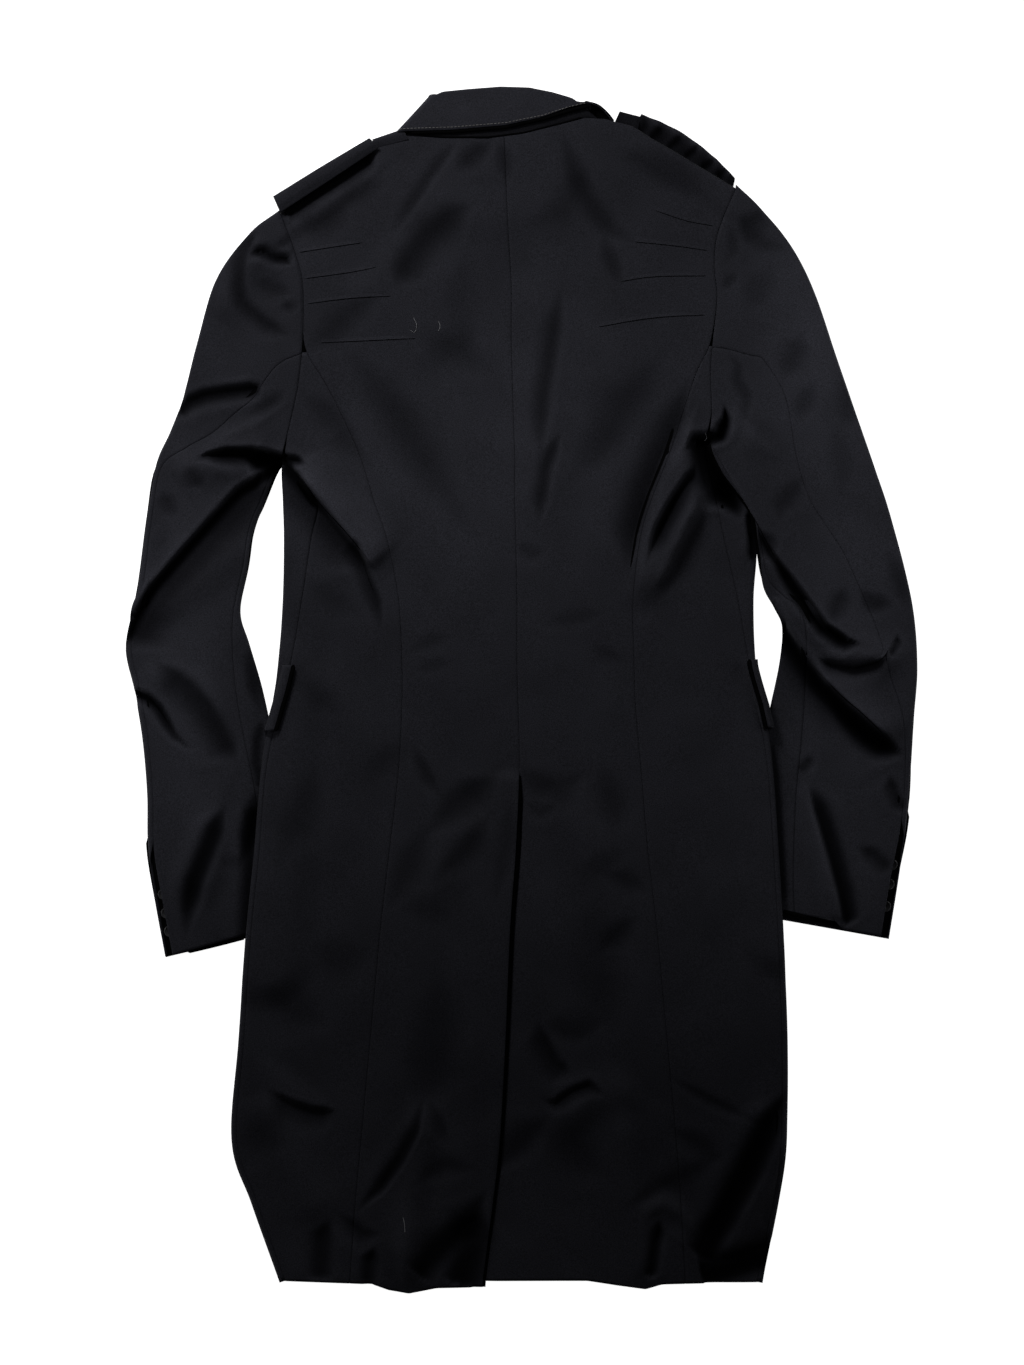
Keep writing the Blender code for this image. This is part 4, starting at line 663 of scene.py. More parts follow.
def vent_rise(x, y):
    """The left back lies on the right one along the vent."""
    lip = np.interp(y, [row.left_y for row in BODY[:8]], [row.centre for row in BODY[:8]])
    near = smooth((x - lip + UNDERLAP + LEAD) / VENT_RAMP)
    return (WALL + VENT_AIR) * near * smooth((VENT_TOP - y) / VENT_MOUTH)


def front_rise(x, _):
    """The left front lies inside the right one at the centre front."""
    return (WALL + FRONT_AIR) * smooth((x - CENTRE_FRONT + FRONT_OVERLAP + LEAD) / FRONT_RAMP)


def grid(v, a):
    """Row numbers for every column of a."""
    return np.repeat(v[:, None], a.shape[1], 1), a


def panel_columns(start, stop):
    """Columns between two seams, closer at both, for the whole panel's widest row."""
    width = stop - start
    count = max(2, round(float(np.max(width)) / CELL))
    near = np.minimum(EDGE_COLUMNS, EDGE_SHARE * width[:, None])
    inner = np.linspace(0.0, 1.0, count + 1)[1:-1]
    low, high = near[:, -1:], width[:, None] - near[:, -1:]
    middle = low + (high - low) * inner[None, :]
    return start[:, None] + np.concatenate([near, middle, width[:, None] - near[:, ::-1]], 1)


def between(v, left_seam, right_seam, tucked=0.0):
    """Columns of a body panel between two seams. It may reach on, tucked under its left neighbour."""
    half = SEAM_GAP / 2
    return panel_columns(seam(v, left_seam) + half - tucked, seam(v, right_seam) - half)


def seam_dip(a, first=True, last=True):
    """How far the cloth dips toward the seams at the ends of its rows."""
    away = np.full(a.shape, np.inf)
    if first:
        away = np.minimum(away, np.abs(a - a[:, :1]))
    if last:
        away = np.minimum(away, np.abs(a[:, -1:] - a))
    return SEAM_DEPTH * np.exp(-((away / SEAM_SOFT) ** 1.5))


def columns(*stretches):
    """Columns of a piece that goes round the ring: from start to stop of each stretch, count of them."""
    parts = []
    for start, stop, count in stretches:
        parts += [start + (stop - start) * share for share in np.linspace(0.0, 1.0, count + 1)[:-1]]
    return np.stack(parts + [stretches[-1][1]], 1)


def back(side):
    """Centre back panel, hem to neck and shoulder, with the shoulder's roll as its last rows."""
    v = body_rows(CELL)
    if side == "left":
        a = between(v, "princess_l", "centre")
    else:
        tucked = UNDERLAP * smooth((VENT_TOP - along(BODY, "left_y", v)) / VENT_TAPER)
        a = between(v, "centre", "princess_r", tucked)
    rise = vent_rise if side == "left" else None
    return add_shoulder_roll(*BODY_TUBE.point(*grid(v, a), rise, seam_dip(a)))


def add_shoulder_roll(outer, inner):
    """More rows that turn the shoulder edge over. At the neck seam they only run on a little."""
    x, y, z = outer[-1].T
    slope = np.gradient(edge_y(TOP_EDGE, x), x)
    nx, ny = -slope / np.hypot(slope, 1.0), 1.0 / np.hypot(slope, 1.0)
    tip = 0 if x[0] < -x[-1] else -1
    at_tip = smooth(1.0 - np.abs(x - x[tip]) / SHOULDER_TIP)
    up = outer[-1, tip, :2] - outer[-2, tip, :2]
    up /= np.linalg.norm(up)
    nx, ny = nx + (up[0] - nx) * at_tip, ny + (up[1] - ny) * at_tip
    off_neck = np.maximum(smooth((NECK[0] - x) / NECK_FADE), smooth((x - NECK[1]) / NECK_FADE))
    radius = (z - body_floor(x, y)) / 2
    rows_out, rows_in = [outer], [inner]
    for step in np.linspace(0.0, RUN_ON, 9)[1:]:
        angle = off_neck * step / RUN_ON * math.pi * ROLL_TURN
        for rows, reach, tall in ((rows_out, ROLL, radius), (rows_in, ROLL - WALL, radius - WALL)):
            shift = reach * np.sin(angle) + (1.0 - off_neck) * step
            rise = z - radius + tall * np.cos(angle)
            rows.append(np.stack([x + nx * shift, y + ny * shift, rise], -1)[None])
    return np.concatenate(rows_out), np.concatenate(rows_in)


def side_back(side):
    """Narrow back panel between princess seam and side seam, hem to a tip at the armhole."""
    v = body_rows(CELL, SIDE_TIP)
    a = between(v, *SIDE_SEAMS[side])
    return BODY_TUBE.point(*grid(v, a), None, seam_dip(a))


def front(side):
    """Front: from the side seam round the side edge and along the floor past the centre front."""
    v = np.sort(np.concatenate([body_rows(FRONT_ROW * CELL), ARMPIT + np.array([0.2, 0.4, 0.6])]))
    inset = body_inset(v)[0]
    flat = BODY_TUBE.width(v) - 2 * inset
    turn = math.pi * inset
    above = smooth((v - ARMPIT) / ROLL_END)
    ax, _, bx, _ = body_ends(v)
    below_armpit = v <= ARMPIT
    if side == "left":
        begin = (seam(v, "side_l") - SEAM_GAP / 2) * below_armpit - above * turn
        far = -turn - (CENTRE_FRONT + FRONT_OVERLAP - ax - inset)
        a = columns((begin, 0 * v, 12), (0 * v, -turn, 8), (-turn, far, FRONT_COLUMNS))
        most, crowd = np.minimum, -FRONT_CROWD
    else:
        begin = np.where(below_armpit, seam(v, "side_r") + SEAM_GAP / 2, flat + above * turn)
        far = flat + turn + (bx - CENTRE_FRONT + FRONT_OVERLAP - inset)
        a = columns((begin, flat, 12), (flat, flat + turn, 8), (flat + turn, far, FRONT_COLUMNS))
        most, crowd = np.maximum, FRONT_CROWD
    a = most(a, begin[:, None] + crowd * np.arange(a.shape[1]) * ~below_armpit[:, None])
    dip = seam_dip(a, last=False) * below_armpit[:, None]
    return BODY_TUBE.point(*grid(v, a), front_rise if side == "left" else None, dip)


# ---- sleeves ----
OUT = {"left": -1.0, "right": 1.0}   # which way along x each side lies
TIED_ROWS = 2.5        # rows over which the elbow seam leaves the tip of the side back panel
CUFF_ROLL = 0.55       # share of the outer roll that stays with the cuff's lower layer
CUFF_CROWD = 0.05      # columns that end at the vent stay this far apart
VENT_ROWS = 0.6        # rows over which the cuff's vent opens
PAST_SHOULDER = 10.0   # how far the armhole's line goes on past the shoulder, in steps of it
ARMPIT_SHARE = 0.85    # share of the armhole's length below which the sleeve stands clear of the body
ARMHOLE_DEPTH = 0.8    # dip toward the armhole seam, as a share of another seam's
ARMHOLE_SOFT = 1 / 12  # over how much of a row it dips


def armhole_x(side, y):
    """The armhole is where the body's rows end, from the armpit up and a little past the shoulder."""
    rows = np.linspace(ARMPIT, SHOULDER, 200)
    ends = body_ends(rows)
    x, height = ends[:2] if side == "left" else ends[2:]
    x, height = body_shape(rows, x, height, np.ones(len(rows), bool))
    x, height = (np.append(line, line[-1] + PAST_SHOULDER * (line[-1] - line[-2])) for line in (x, height))
    return np.interp(y, height, x)


def sleeve_tube(side):
    table = SLEEVES[side]

    def ends(v):
        return ends_of(table, v)

    def shape(v, x, y, over):
        """The first rows follow the armhole, and the last one the cuff's upper layer."""
        first = table[0]
        ax, ay, bx, by = ends(v)
        share = np.hypot(x - ax, y - ay) / np.hypot(bx - ax, by - ay)
        start_y = first.outer_y + (first.inner_y - first.outer_y) * share
        start_x = first.outer_x + (first.inner_x - first.outer_x) * share
        pull = np.clip(1.0 - v / ARMHOLE_REACH, 0.0, 1.0) ** 2
        clear = SEAM_GAP / 2 + ARMPIT_AIR * smooth((share - ARMPIT_SHARE) / 0.1)
        bulge = (armhole_x(side, start_y) + OUT[side] * clear - start_x) * pull
        step = np.interp(share, *zip(*CUFF_STEPS[side]))
        return x + bulge, y + np.where(over, step * smooth(v - len(table) + 2.0), 0.0)

    return Tube(ends, shape, sleeve_floor, sleeve_top, even_inset(ROLL))


def even_inset(radius):
    """Both sides roll by the same radius at every row."""
    return lambda v: (np.full_like(v, radius), np.full_like(v, radius))


def sleeve_rows(side):
    """Rows a cell apart along the sleeve's middle."""
    at = np.linspace(0.0, len(SLEEVES[side]) - 1.0, 300)
    outer_x, outer_y, inner_x, inner_y = ends_of(SLEEVES[side], at)
    way = distances(np.stack([(outer_x + inner_x) / 2, (outer_y + inner_y) / 2], 1))
    return np.interp(np.linspace(0.0, way[-1], round(way[-1] / CELL)), way, at)


def sleeve_seams(side, v):
    """Where elbow seam and inner seam cross the ring."""
    tied = np.clip(1.0 - v / TIED_ROWS, 0.0, 1.0)
    width = sleeve_tube(side).width(v)
    start = SLEEVES[side][0]
    tip_y = along(BODY, side + "_y", np.array([SIDE_TIP]))[0]
    at_armhole = (tip_y - start.outer_y) / (start.inner_y - start.outer_y) * width
    elbow = at_armhole * tied + along(SLEEVES[side], "elbow", v) * (1.0 - tied) - ROLL
    return elbow, width - ROLL - along(SLEEVES[side], "inner_seam", v)


def cuff_start(side):
    """Number of the row of a sleeve's mesh at which the cuff opens."""
    return int(np.searchsorted(sleeve_rows(side), CUFF_VENT))


def armhole_dip(v):
    """The sleeve dips toward the armhole seam."""
    return ARMHOLE_DEPTH * SEAM_DEPTH * np.exp(-((v / ARMHOLE_SOFT) ** 1.5))[:, None]


def armhole_edge(side):
    """The sleeve's top edge at the armhole."""
    tube = sleeve_tube(side)
    start = np.zeros(1)
    a = np.linspace(0.0, tube.width(start)[0] - 2 * ROLL, 90)[None, :]
    return tube.point(*grid(start, a), None, SEAM_DEPTH)[0][0]


def undersleeve(side):
    """Between elbow seam and inner seam, over the top."""
    v = sleeve_rows(side)
    elbow, inner = sleeve_seams(side, v)
    a = panel_columns(elbow + SEAM_GAP / 2, inner - SEAM_GAP / 2)
    return sleeve_tube(side).point(*grid(v, a), None, seam_dip(a) + armhole_dip(v))


def topsleeve(side):
    """The rest of the ring: sleeve head, outer edge, floor and inner edge. The cuff is open on its vent."""
    v = sleeve_rows(side)
    tube = sleeve_tube(side)
    elbow, inner = sleeve_seams(side, v)
    turn = math.pi * ROLL
    flat = tube.width(v) - 2 * ROLL
    edge = elbow - SEAM_GAP / 2
    head = np.clip(edge, 0.0, None)
    beside = edge - np.minimum(EDGE_COLUMNS[-1], 0.2 * head)
    marks = [edge, beside, 0 * v, 0 * v - turn, -turn - flat, -2 * turn - flat,
             -2 * turn - 2 * flat + inner + SEAM_GAP / 2]
    counts = [3, round(float(np.max(head)) / CELL), 9, 16, 9, 12]
    a = columns(*zip(marks, marks[1:], counts))
    vent = smooth((v - CUFF_VENT) / VENT_ROWS)
    opening = edge * (1.0 - vent) - CUFF_ROLL * turn * vent
    crowd = opening[:, None] - CUFF_CROWD * np.arange(a.shape[1])[None, :]
    a = np.where((v > CUFF_VENT)[:, None], np.minimum(a, crowd), a)
    return tube.point(*grid(v, a), None, seam_dip(a) + armhole_dip(v))


# ---- collar ----
# Its ends at the left and right of the neck, from the neck seam or the fold to the free edge.
CollarEnds = namedtuple("CollarEnds", "left_x left_y right_x right_y")
STAND = [CollarEnds(-106, 486, 70, 499), CollarEnds(-75, 518, 52, 513)]
FALL = [CollarEnds(-82, 522, 58, 517), CollarEnds(-111, 490, 61, 515)]
FOLD_RADIUS = 3.0
FALL_ROLL = 5.5        # how far the fall's sides take to turn over
STAND_OFF = 1.2        # how far the free edge stands off the stand
NECK_SEAM_GAP = 1.4    # hidden front half: its straight stretches need more room
FOLD_SHORT = 4.0       # hidden front half: the stand ends this far below the fold
STAND_UNDER = 3.0      # how far the stand starts below the neck seam
STAND_GAP = 0.6        # between the stand's edge and the fold
STAND_SINK = 1.4       # how much lower the stand lies there, under the back
FALL_AIR = 0.8         # between stand and fall
FALL_DEPTH = 34.0      # from the fold to the free edge
RIGHT_END, RIGHT_LENGTH = 10.0, 40.0     # toward its right end the collar stands off farther
RIGHT_OFF = 2.0        # by so much
CENTRE_GAP = 1.0       # half the gap between the collar's ends at the centre front
COLLAR_COLUMN = 2.0    # columns across the back of the neck
# The collar's right end curls over. Its rim is the outline, and its inside is painted near-black as the shade
# of a hollow.
CURL = [(56, 516.5), (66, 513.8), (72, 509.6), (77, 504.4), (80.5, 499.6)]
CURL_FOOT = [(40, 506), (50, 503.5), (60, 501.5), (70, 500), (78, 498.4)]
CURL_PROFILE = [(0.0, 10.5), (0.03, 6.0), (0.12, 2.5), (0.4, 1.4), (0.8, 1.6), (1.0, 2.5)]
RIM_HEIGHT, RIM_FALL = 10.5, 1.2     # height of its stitched rim, and how much lower each point is


def ends_between(table):
    return lambda v: tuple(a + (b - a) * v for a, b in zip(*table))


def neck_dip(x, ends):
    """How far the front half of the collar lies below its back half."""
    return hollow(np.clip((x - ends.left_x) / (ends.right_x - ends.left_x), 0.0, 1.0))


def collar_shape(table, start_edge, stop_edge, front_start, front_stop, front_short=0.0):
    """Rows from one edge to another: start_edge and stop_edge over the back, the others round the front."""
    first, last = table

    def shape(v, x, _, over):
        ax, _, bx, _ = ends_between(table)(v)
        share = (x - ax) / (bx - ax)
        x0 = first.left_x + (first.right_x - first.left_x) * share
        x1 = last.left_x + (last.right_x - last.left_x) * share
        start = np.where(over, start_edge(x0), front_start(x0))
        stop = stop_edge(x1) - np.where(over, 0.0, neck_dip(x1, front_stop) + front_short)
        return x, start + (stop - start) * v
    return shape


def toward_right(x):
    return smooth((x - RIGHT_END) / RIGHT_LENGTH)


def fold_line(x):
    return edge_y(FALL_TOP, x) - FOLD_RADIUS


def stand_top(x, y):
    """The stand's lower edge lies under the back's."""
    return body_top(x, y) - STAND_SINK * (1.0 - smooth((y - edge_y(TOP_EDGE, x) + 1.5) / 3.0))


def stand_tube():
    shape = collar_shape(STAND, lambda x: edge_y(TOP_EDGE, x) - STAND_UNDER,
                         lambda x: fold_line(x) - STAND_GAP,
                         lambda x: front_top(x) - ROLL + NECK_SEAM_GAP, STAND[1], FOLD_SHORT)
    return Tube(ends_between(STAND), shape, body_floor, stand_top, even_inset(ROLL))


def fall_top(x, y):
    """The fall lies on the stand and stands off it toward its free edge, more so at the right."""
    edge = smooth((edge_y(FALL_TOP, x) - y) / FALL_DEPTH)
    return body_top(x, y) + WALL + FALL_AIR + edge * (STAND_OFF + RIGHT_OFF * toward_right(x))


def fall_floor(x, y):
    return np.maximum(body_floor(x, y) - COLLAR_PLY, 0.0)


def fall_tube():
    shape = collar_shape(FALL, fold_line, lambda x: edge_y(FALL_EDGE, x),
                         lambda x: fold_line(x) - neck_dip(x, STAND[1]), STAND[0])
    return Tube(ends_between(FALL), shape, fall_floor, fall_top, even_inset(FALL_ROLL))


def collar_ring(tube, v):
    """Columns from the centre front over the left side, the back and the right side to the centre front."""
    width = tube.width(v)
    left, right = tube.inset(v)
    flat = width - left - right
    turn = math.pi * left
    centre = (CENTRE_FRONT - STAND[0].left_x) / (STAND[0].right_x - STAND[0].left_x)
    start = -turn - (centre * width - left - CENTRE_GAP)
    stop = flat + turn + ((1 - centre) * width - right - CENTRE_GAP)
    return columns((start, -turn, 14), (-turn, 0 * v, 9), (0 * v, flat, round(flat[0] / COLLAR_COLUMN)),
                   (flat, flat + turn, 9), (flat + turn, stop, 14))


def collar_stand():
    v = np.linspace(0.0, 1.0, 12)
    tube = stand_tube()
    return tube.point(*grid(v, collar_ring(tube, v)))


def collar_fall():
    """The fall, turned in at the fold so that it closes over the stand's edge."""
    v = np.linspace(0.0, 1.0, 20)
    tube = fall_tube()
    outer, inner = tube.point(*grid(v, collar_ring(tube, v)))
    out = (outer[0] - inner[0]) / WALL
    north = outer[0] - outer[1]
    north[:, 2] = 0.0
    north /= np.linalg.norm(north, axis=1)[:, None]
    north -= out * np.sum(north * out, axis=1)[:, None]
    centre = outer[0] - FOLD_RADIUS * out
    rows_out, rows_in = [outer], [inner]
    for angle in np.radians(np.arange(15.0, 91.0, 15.0)):
        way = math.sin(angle) * north + math.cos(angle) * out
        rows_out.insert(0, (centre + FOLD_RADIUS * way)[None])
        rows_in.insert(0, (centre + (FOLD_RADIUS - WALL) * way)[None])
    return np.concatenate(rows_out), np.concatenate(rows_in)


def ruled(first, last, section, share):
    """Plan of a strip between two lines: at shares of its length, and at a section's shares across."""
    ends = []
    for line in (first, last):
        fine = resample(line, 1.0)
        ends.append(points_at(fine, np.arange(len(fine)), share * (len(fine) - 1)))
    away = section[None, :, :1]
    return ends[0][:, None] * (1.0 - away) + ends[1][:, None] * away


def faces_of(plan, high):
    """Outer and inner face from a plan and its heights."""
    outer = np.concatenate([plan, high[:, :, None]], 2)
    return outer, inset_faces(outer)


def inset_faces(outer):
    """The face a wall's thickness inside a surface."""
    normal = np.cross(np.gradient(outer, axis=0), np.gradient(outer, axis=1))
    normal /= np.maximum(np.linalg.norm(normal, axis=2), TINY)[:, :, None]
    if normal[:, outer.shape[1] // 3, 2].mean() < 0:
        normal = -normal
    return outer - WALL * normal


def collar_curl():
    share = np.linspace(0.0, 1.0, 40)
    section = rounded(CURL_PROFILE)
    return faces_of(ruled(CURL, CURL_FOOT, section, share), section[None, :, 1] * np.ones((len(share), 1)))


# ---- epaulettes and flaps ----
# A strap lies between two lines, its inner edge and its free one. Its profile gives the share of the way
# across and the height. It is puckered by so many waves of so many millimetres.
Strap = namedtuple("Strap", "inner free profile pucker waves")
EPAULETTES = {
    "left": Strap([(-213.4, 422.6), (-170, 450.5), (-127.4, 478)],
                  [(-217.8, 432.6), (-176, 458.5), (-133.6, 483.8)],
                  [(-0.4, 14.5), (0, 16.5), (0.3, 17.6), (0.75, 17.8), (1, 16), (1.02, 9), (0.8, 2.5),
                   (0.2, 0.2), (-0.8, 0)], 0.15, 5),
    "right": Strap([(97, 490), (128, 472.5), (158, 455), (186, 441)],
                   [(105.2, 506), (126, 497.5), (146, 486.4), (169, 468.5), (187.6, 450)],
                   [(-0.1, 3), (0.15, 3.2), (0.4, 4.8), (0.7, 7), (0.92, 7.6), (1, 6.2), (1.0, 2.5),
                    (0.85, 0.5), (0.3, 0)], 1.3, 11),
}
KEEPERS = {
    "left": Strap([(-129, 478.6), (-101, 486.5)], [(-131.2, 483.4), (-104.6, 492.4)],
                  [(-0.6, 11), (0, 12.4), (0.5, 13), (0.9, 12), (1, 8), (0.8, 2), (0, 0.3)], 0.0, 1),
    "right": Strap([(80.6, 496), (101, 488)], [(86.2, 508.3), (105.4, 503.2)],
                   [(0, 7), (0.3, 7.6), (0.8, 8), (1, 6.5), (1, 2), (0.7, 0.3)], 0.3, 3),
}
# The right epaulette is pushed up on edge. Its colour is painted dark as shade, with a painted highlight
# along its rim and painted shade in its puckers; these creases paint only colour, not shape.
PUSHED_PAINTED_SHADE = -4.6
PUSHED_RIM = Crease(4, 5, 4.6, 0.08, [(104, 507), (126, 498), (146, 486.5), (169, 469), (188, 451)])
PUCKERS = [[(111, 483), (118, 490), (124, 496)], [(126, 475), (135, 482), (141, 489)],
           [(141, 467), (150, 474), (156, 480)], [(156, 458), (164, 463), (170, 468)],
           [(171, 449), (176, 455), (181, 459)]]
PUSHED_CREASES = [PUSHED_RIM] + [Crease(3, 3, -6, 0.3, points) for points in PUCKERS]

# A pocket flap lies under the front. Its back end comes round the side edge and stands off the back.
FLAP_LIP = {"left": -5.2, "right": -2.4}
LIP_HEIGHT, LIP_CREST = 18, 18.5
FLAP_SECTION = [(0.5, 17.5), (3.2, 13), (3.4, 6), (2, 1.5), (-3, 0), (-26, 0), (-46, 0), (-66, 0)]
FLAP_ROWS = {"left": (22.0, -36.0), "right": (27.0, -33.0)}
FLAP_LEAN = {"left": (-7.4, -0.4), "right": (-2.2, 2.6)}   # how far out its top and its bottom stand
FLAP_WALL = 1.8
FLAP_HOLLOW = (1.6, 16.0)          # the black cord painted as shade inside a flap's lip: how far beyond it, and how high
FLAP_EDGE = (4.6, 15.6, 0.5)       # the right flap's light edge, and how much higher it starts and ends
BUTTON_THICK = 2.6
BUTTON_ROWS = (13.8, 14.15, 14.5)
BUTTON_INSET = WALL + 0.8          # from the sleeve's outer edge
BUTTON_LIFT = WALL + 0.35
# A dished disc with a rounded rim, as shares of a button's radius and thickness.
BUTTON_PROFILE = [(0.02, 0.55), (0.55, 0.55), (0.7, 0.72), (0.82, 0.95), (0.93, 1.0), (1.0, 0.8),
                  (1.0, 0.25), (0.92, 0.0), (0.02, 0.0)]


def pushed_painted_light(x, y):
    return PUSHED_PAINTED_SHADE + creases(PUSHED_CREASES, x, y)


def strap(shape, stations):
    """Outer and inner face of a strap, from one end to the other."""
    share = np.linspace(0.0, 1.0, stations)
    section = rounded(shape.profile)
    away, up = section.T[:, None]
    phase = share[:, None] * math.pi * shape.waves + 1.4 * np.sin(share[:, None] * 7.0)
    high = up + shape.pucker * np.sin(phase + 0.8 * away) * smooth(up / 4.0)
    return faces_of(ruled(shape.inner, shape.free, section, share), high)


def flap_edge(side, y):
    """Where the flap's outer edge would be if its section were at zero."""
    v = np.interp(y, [row.left_y for row in BODY[:9]], np.arange(9.0))
    lean = np.interp(y, FLAP_ROWS[side][::-1], FLAP_LEAN[side][::-1])
    return along(BODY, side + "_x", v) + OUT[side] * lean


def pocket_flap(side):
    """Rows down the side edge from the flap's top to its bottom."""
    y = np.linspace(*FLAP_ROWS[side], 25)
    lip = FLAP_LIP[side]
    section = rounded([(lip, LIP_HEIGHT), (lip / 2, LIP_CREST)] + FLAP_SECTION)
    way = directions(section)
    inward = np.stack([way[:, 1], -way[:, 0]], 1)
    faces = []
    for face in (section, section + FLAP_WALL * inward):
        x = flap_edge(side, y)[:, None] + OUT[side] * face[None, :, 0]
        faces.append(np.stack([x, y[:, None] + 0 * x, face[None, :, 1] + 0 * x], -1))
    return faces


def flap_line(side, away, up, trim=0.0):
    """A line down the flap, away from its outer edge. trim moves its ends."""
    top, bottom = FLAP_ROWS[side]
    y = np.linspace(top + trim, bottom + trim, 24)
    return np.stack([flap_edge(side, y) + OUT[side] * away, y, 0 * y + up], 1)


# ---- meshes ----
def mesh_of(name, points, quads, material, relief=None):
    """A piece from an array of points and an array of faces with four corners."""
    data = bpy.data.meshes.new(name)
    data.vertices.add(len(points))
    data.vertices.foreach_set("co", (points * MM).astype(np.float32).ravel())
    data.loops.add(quads.size)
    data.loops.foreach_set("vertex_index", quads.astype(np.int32).ravel())
    data.polygons.add(len(quads))
    data.polygons.foreach_set("loop_start", np.arange(0, quads.size, 4, dtype=np.int32))
    data.polygons.foreach_set("use_smooth", np.ones(len(quads), dtype=bool))
    data.update(calc_edges=True)
    # The fade attribute holds painted light and shade: darker in troughs, lighter on ridges, and patches of
    # painted light and shade.
    fade = data.attributes.new("fade", "FLOAT", "POINT")
    fade.data.foreach_set("value", painted_light_tone(points[:, 0], points[:, 1], relief).astype(np.float32))
    data.materials.append(material)
    return placed(name, data)


def placed(name, data):
    """An object of the scene."""
    piece = bpy.data.objects.new(name, data)
    bpy.context.scene.collection.objects.link(piece)
    return piece


def trimming(name, faces, material, relief=None):
    """A piece that rides on the coat and stands for no solid."""
    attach(mesh_of(name, *faces, material, relief), "root")


def numbered(rows, cols):
    """Numbers of the points of rings, and of the points next to them in their ring."""
    index = np.arange(rows * cols).reshape(rows, cols)
    return index, np.roll(index, -1, axis=1)


def ring_faces(index, ahead):
    """Faces between rings of points, from one ring to the next."""
    return np.stack([index[:-1], index[1:], ahead[1:], ahead[:-1]], -1).reshape(-1, 4)


def shell_faces(rows, cols):
    """Faces of a closed shell between two grids, top first."""
    top = np.arange(rows * cols).reshape(rows, cols)
    low = top + rows * cols
    upper = np.stack([top[:-1, :-1], top[:-1, 1:], top[1:, 1:], top[1:, :-1]], -1).reshape(-1, 4)
    under = np.stack([low[:-1, :-1], low[1:, :-1], low[1:, 1:], low[:-1, 1:]], -1).reshape(-1, 4)
    rim_t = np.concatenate([top[0, :-1], top[:-1, -1], top[-1, :0:-1], top[:0:-1, 0]])
    rim_l = rim_t + rows * cols
    rim = np.stack([rim_t, rim_l, np.roll(rim_l, -1), np.roll(rim_t, -1)], -1)
    return np.concatenate([upper, under, rim])


def volume(points, quads):
    a, b, c, d = (points[quads[:, i]] for i in range(4))
    return np.sum(np.cross(a, b) * c + np.cross(a, c) * d) / 6.0


def shell(name, faces, material, node=None, relief=None):
    """A piece of cloth: a thin closed shell, its outer face on the solid's."""
    outer, inner = faces
    low = outer + (inner - outer) * CLOTH / WALL
    points = np.concatenate([outer.reshape(-1, 3), low.reshape(-1, 3)])
    quads = shell_faces(*outer.shape[:2])
    if volume(points, quads) < 0:
        quads = quads[:, ::-1]
    piece = mesh_of(name, points, quads, material, relief)
    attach(piece, "root")
    if node:
        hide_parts(node)


def button_faces(radius, thick, segments=28):
    """A button's points and faces: rings of its turned profile."""
    angle = np.linspace(0.0, 2 * math.pi, segments, endpoint=False)
    rings = [np.stack([r * radius * np.cos(angle), r * radius * np.sin(angle), 0 * angle + z * thick], -1)
             for r, z in BUTTON_PROFILE]
    index, ahead = numbered(len(rings), segments)
    ends = np.stack([index[-1], index[0], ahead[0], ahead[-1]], -1)
    return np.concatenate(rings), np.concatenate([ring_faces(index, ahead), ends])


def cuff_button(side, number, row, material):
    x, y = (value[0] for value in ends_of(SLEEVES[side], np.array([row]))[:2])
    x -= OUT[side] * (BUTTON_INSET + CUFF_BUTTON / 2)
    points, quads = button_faces(CUFF_BUTTON / 2, BUTTON_THICK)
    node = f"cuff_button_{side}_{number}"
    piece = mesh_of(node + "_shown", points + np.array([x, y, BUTTON_LIFT]), quads, material)
    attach(piece, "root")
    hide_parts(node)


# ---- sewing, tucks and threads ----
# Tucks from the armhole across the shoulder blades: (x, y) from the armhole inward.
TUCKS = {
    "left": [[(-198, 384), (-166, 389), (-134, 394)], [(-193, 361), (-150, 367), (-120, 373)],
             [(-191, 339), (-150, 344), (-107, 346)], [(-181, 305), (-132, 307), (-83, 309)]],
    "right": [[(115, 422), (146, 412), (174, 407)], [(96, 394), (136, 390), (171, 385)],
              [(84, 358), (118, 363), (170, 364)], [(63, 318), (118, 327), (171, 330)]],
}
TUCK_DEPTH, TUCK_STEP = 5.0, 0.7
TUCK_FADE, FOLD_FADE = (0.08, 0.3), (0.2, 0.3)   # shares of a line over which its fold rises and ends
TUCK_TRIM, FOLD_TRIM = 0.1, 0.2                  # and shares at its end without a painted shade
TUCK_SINK = 0.25       # how far a fold's ends lie in the cloth
SHADE_AWAY, SHADE_SINK = 0.15, 0.05   # how far its black cord of painted shade lies beside its edge, and in the cloth
SHADE_START = 0.3      # share of a fold's edge along which no painted shade is drawn, where the fold is still low
FOLD_FOOT = 1.6        # how deep a fold's underside lies in the cloth, in steps
# Across a fold from where it leaves the cloth to its edge: share of its depth away from the line, and height
# in steps.
FOLD_PROFILE = [(0.6, 0.0), (0.3, 0.45), (0.12, 0.85)]
FOLD_LIP = [(0.3, 1.0), (0.0, 0.9), (0.0, -FOLD_FOOT)]   # the edge itself, in millimetres and steps
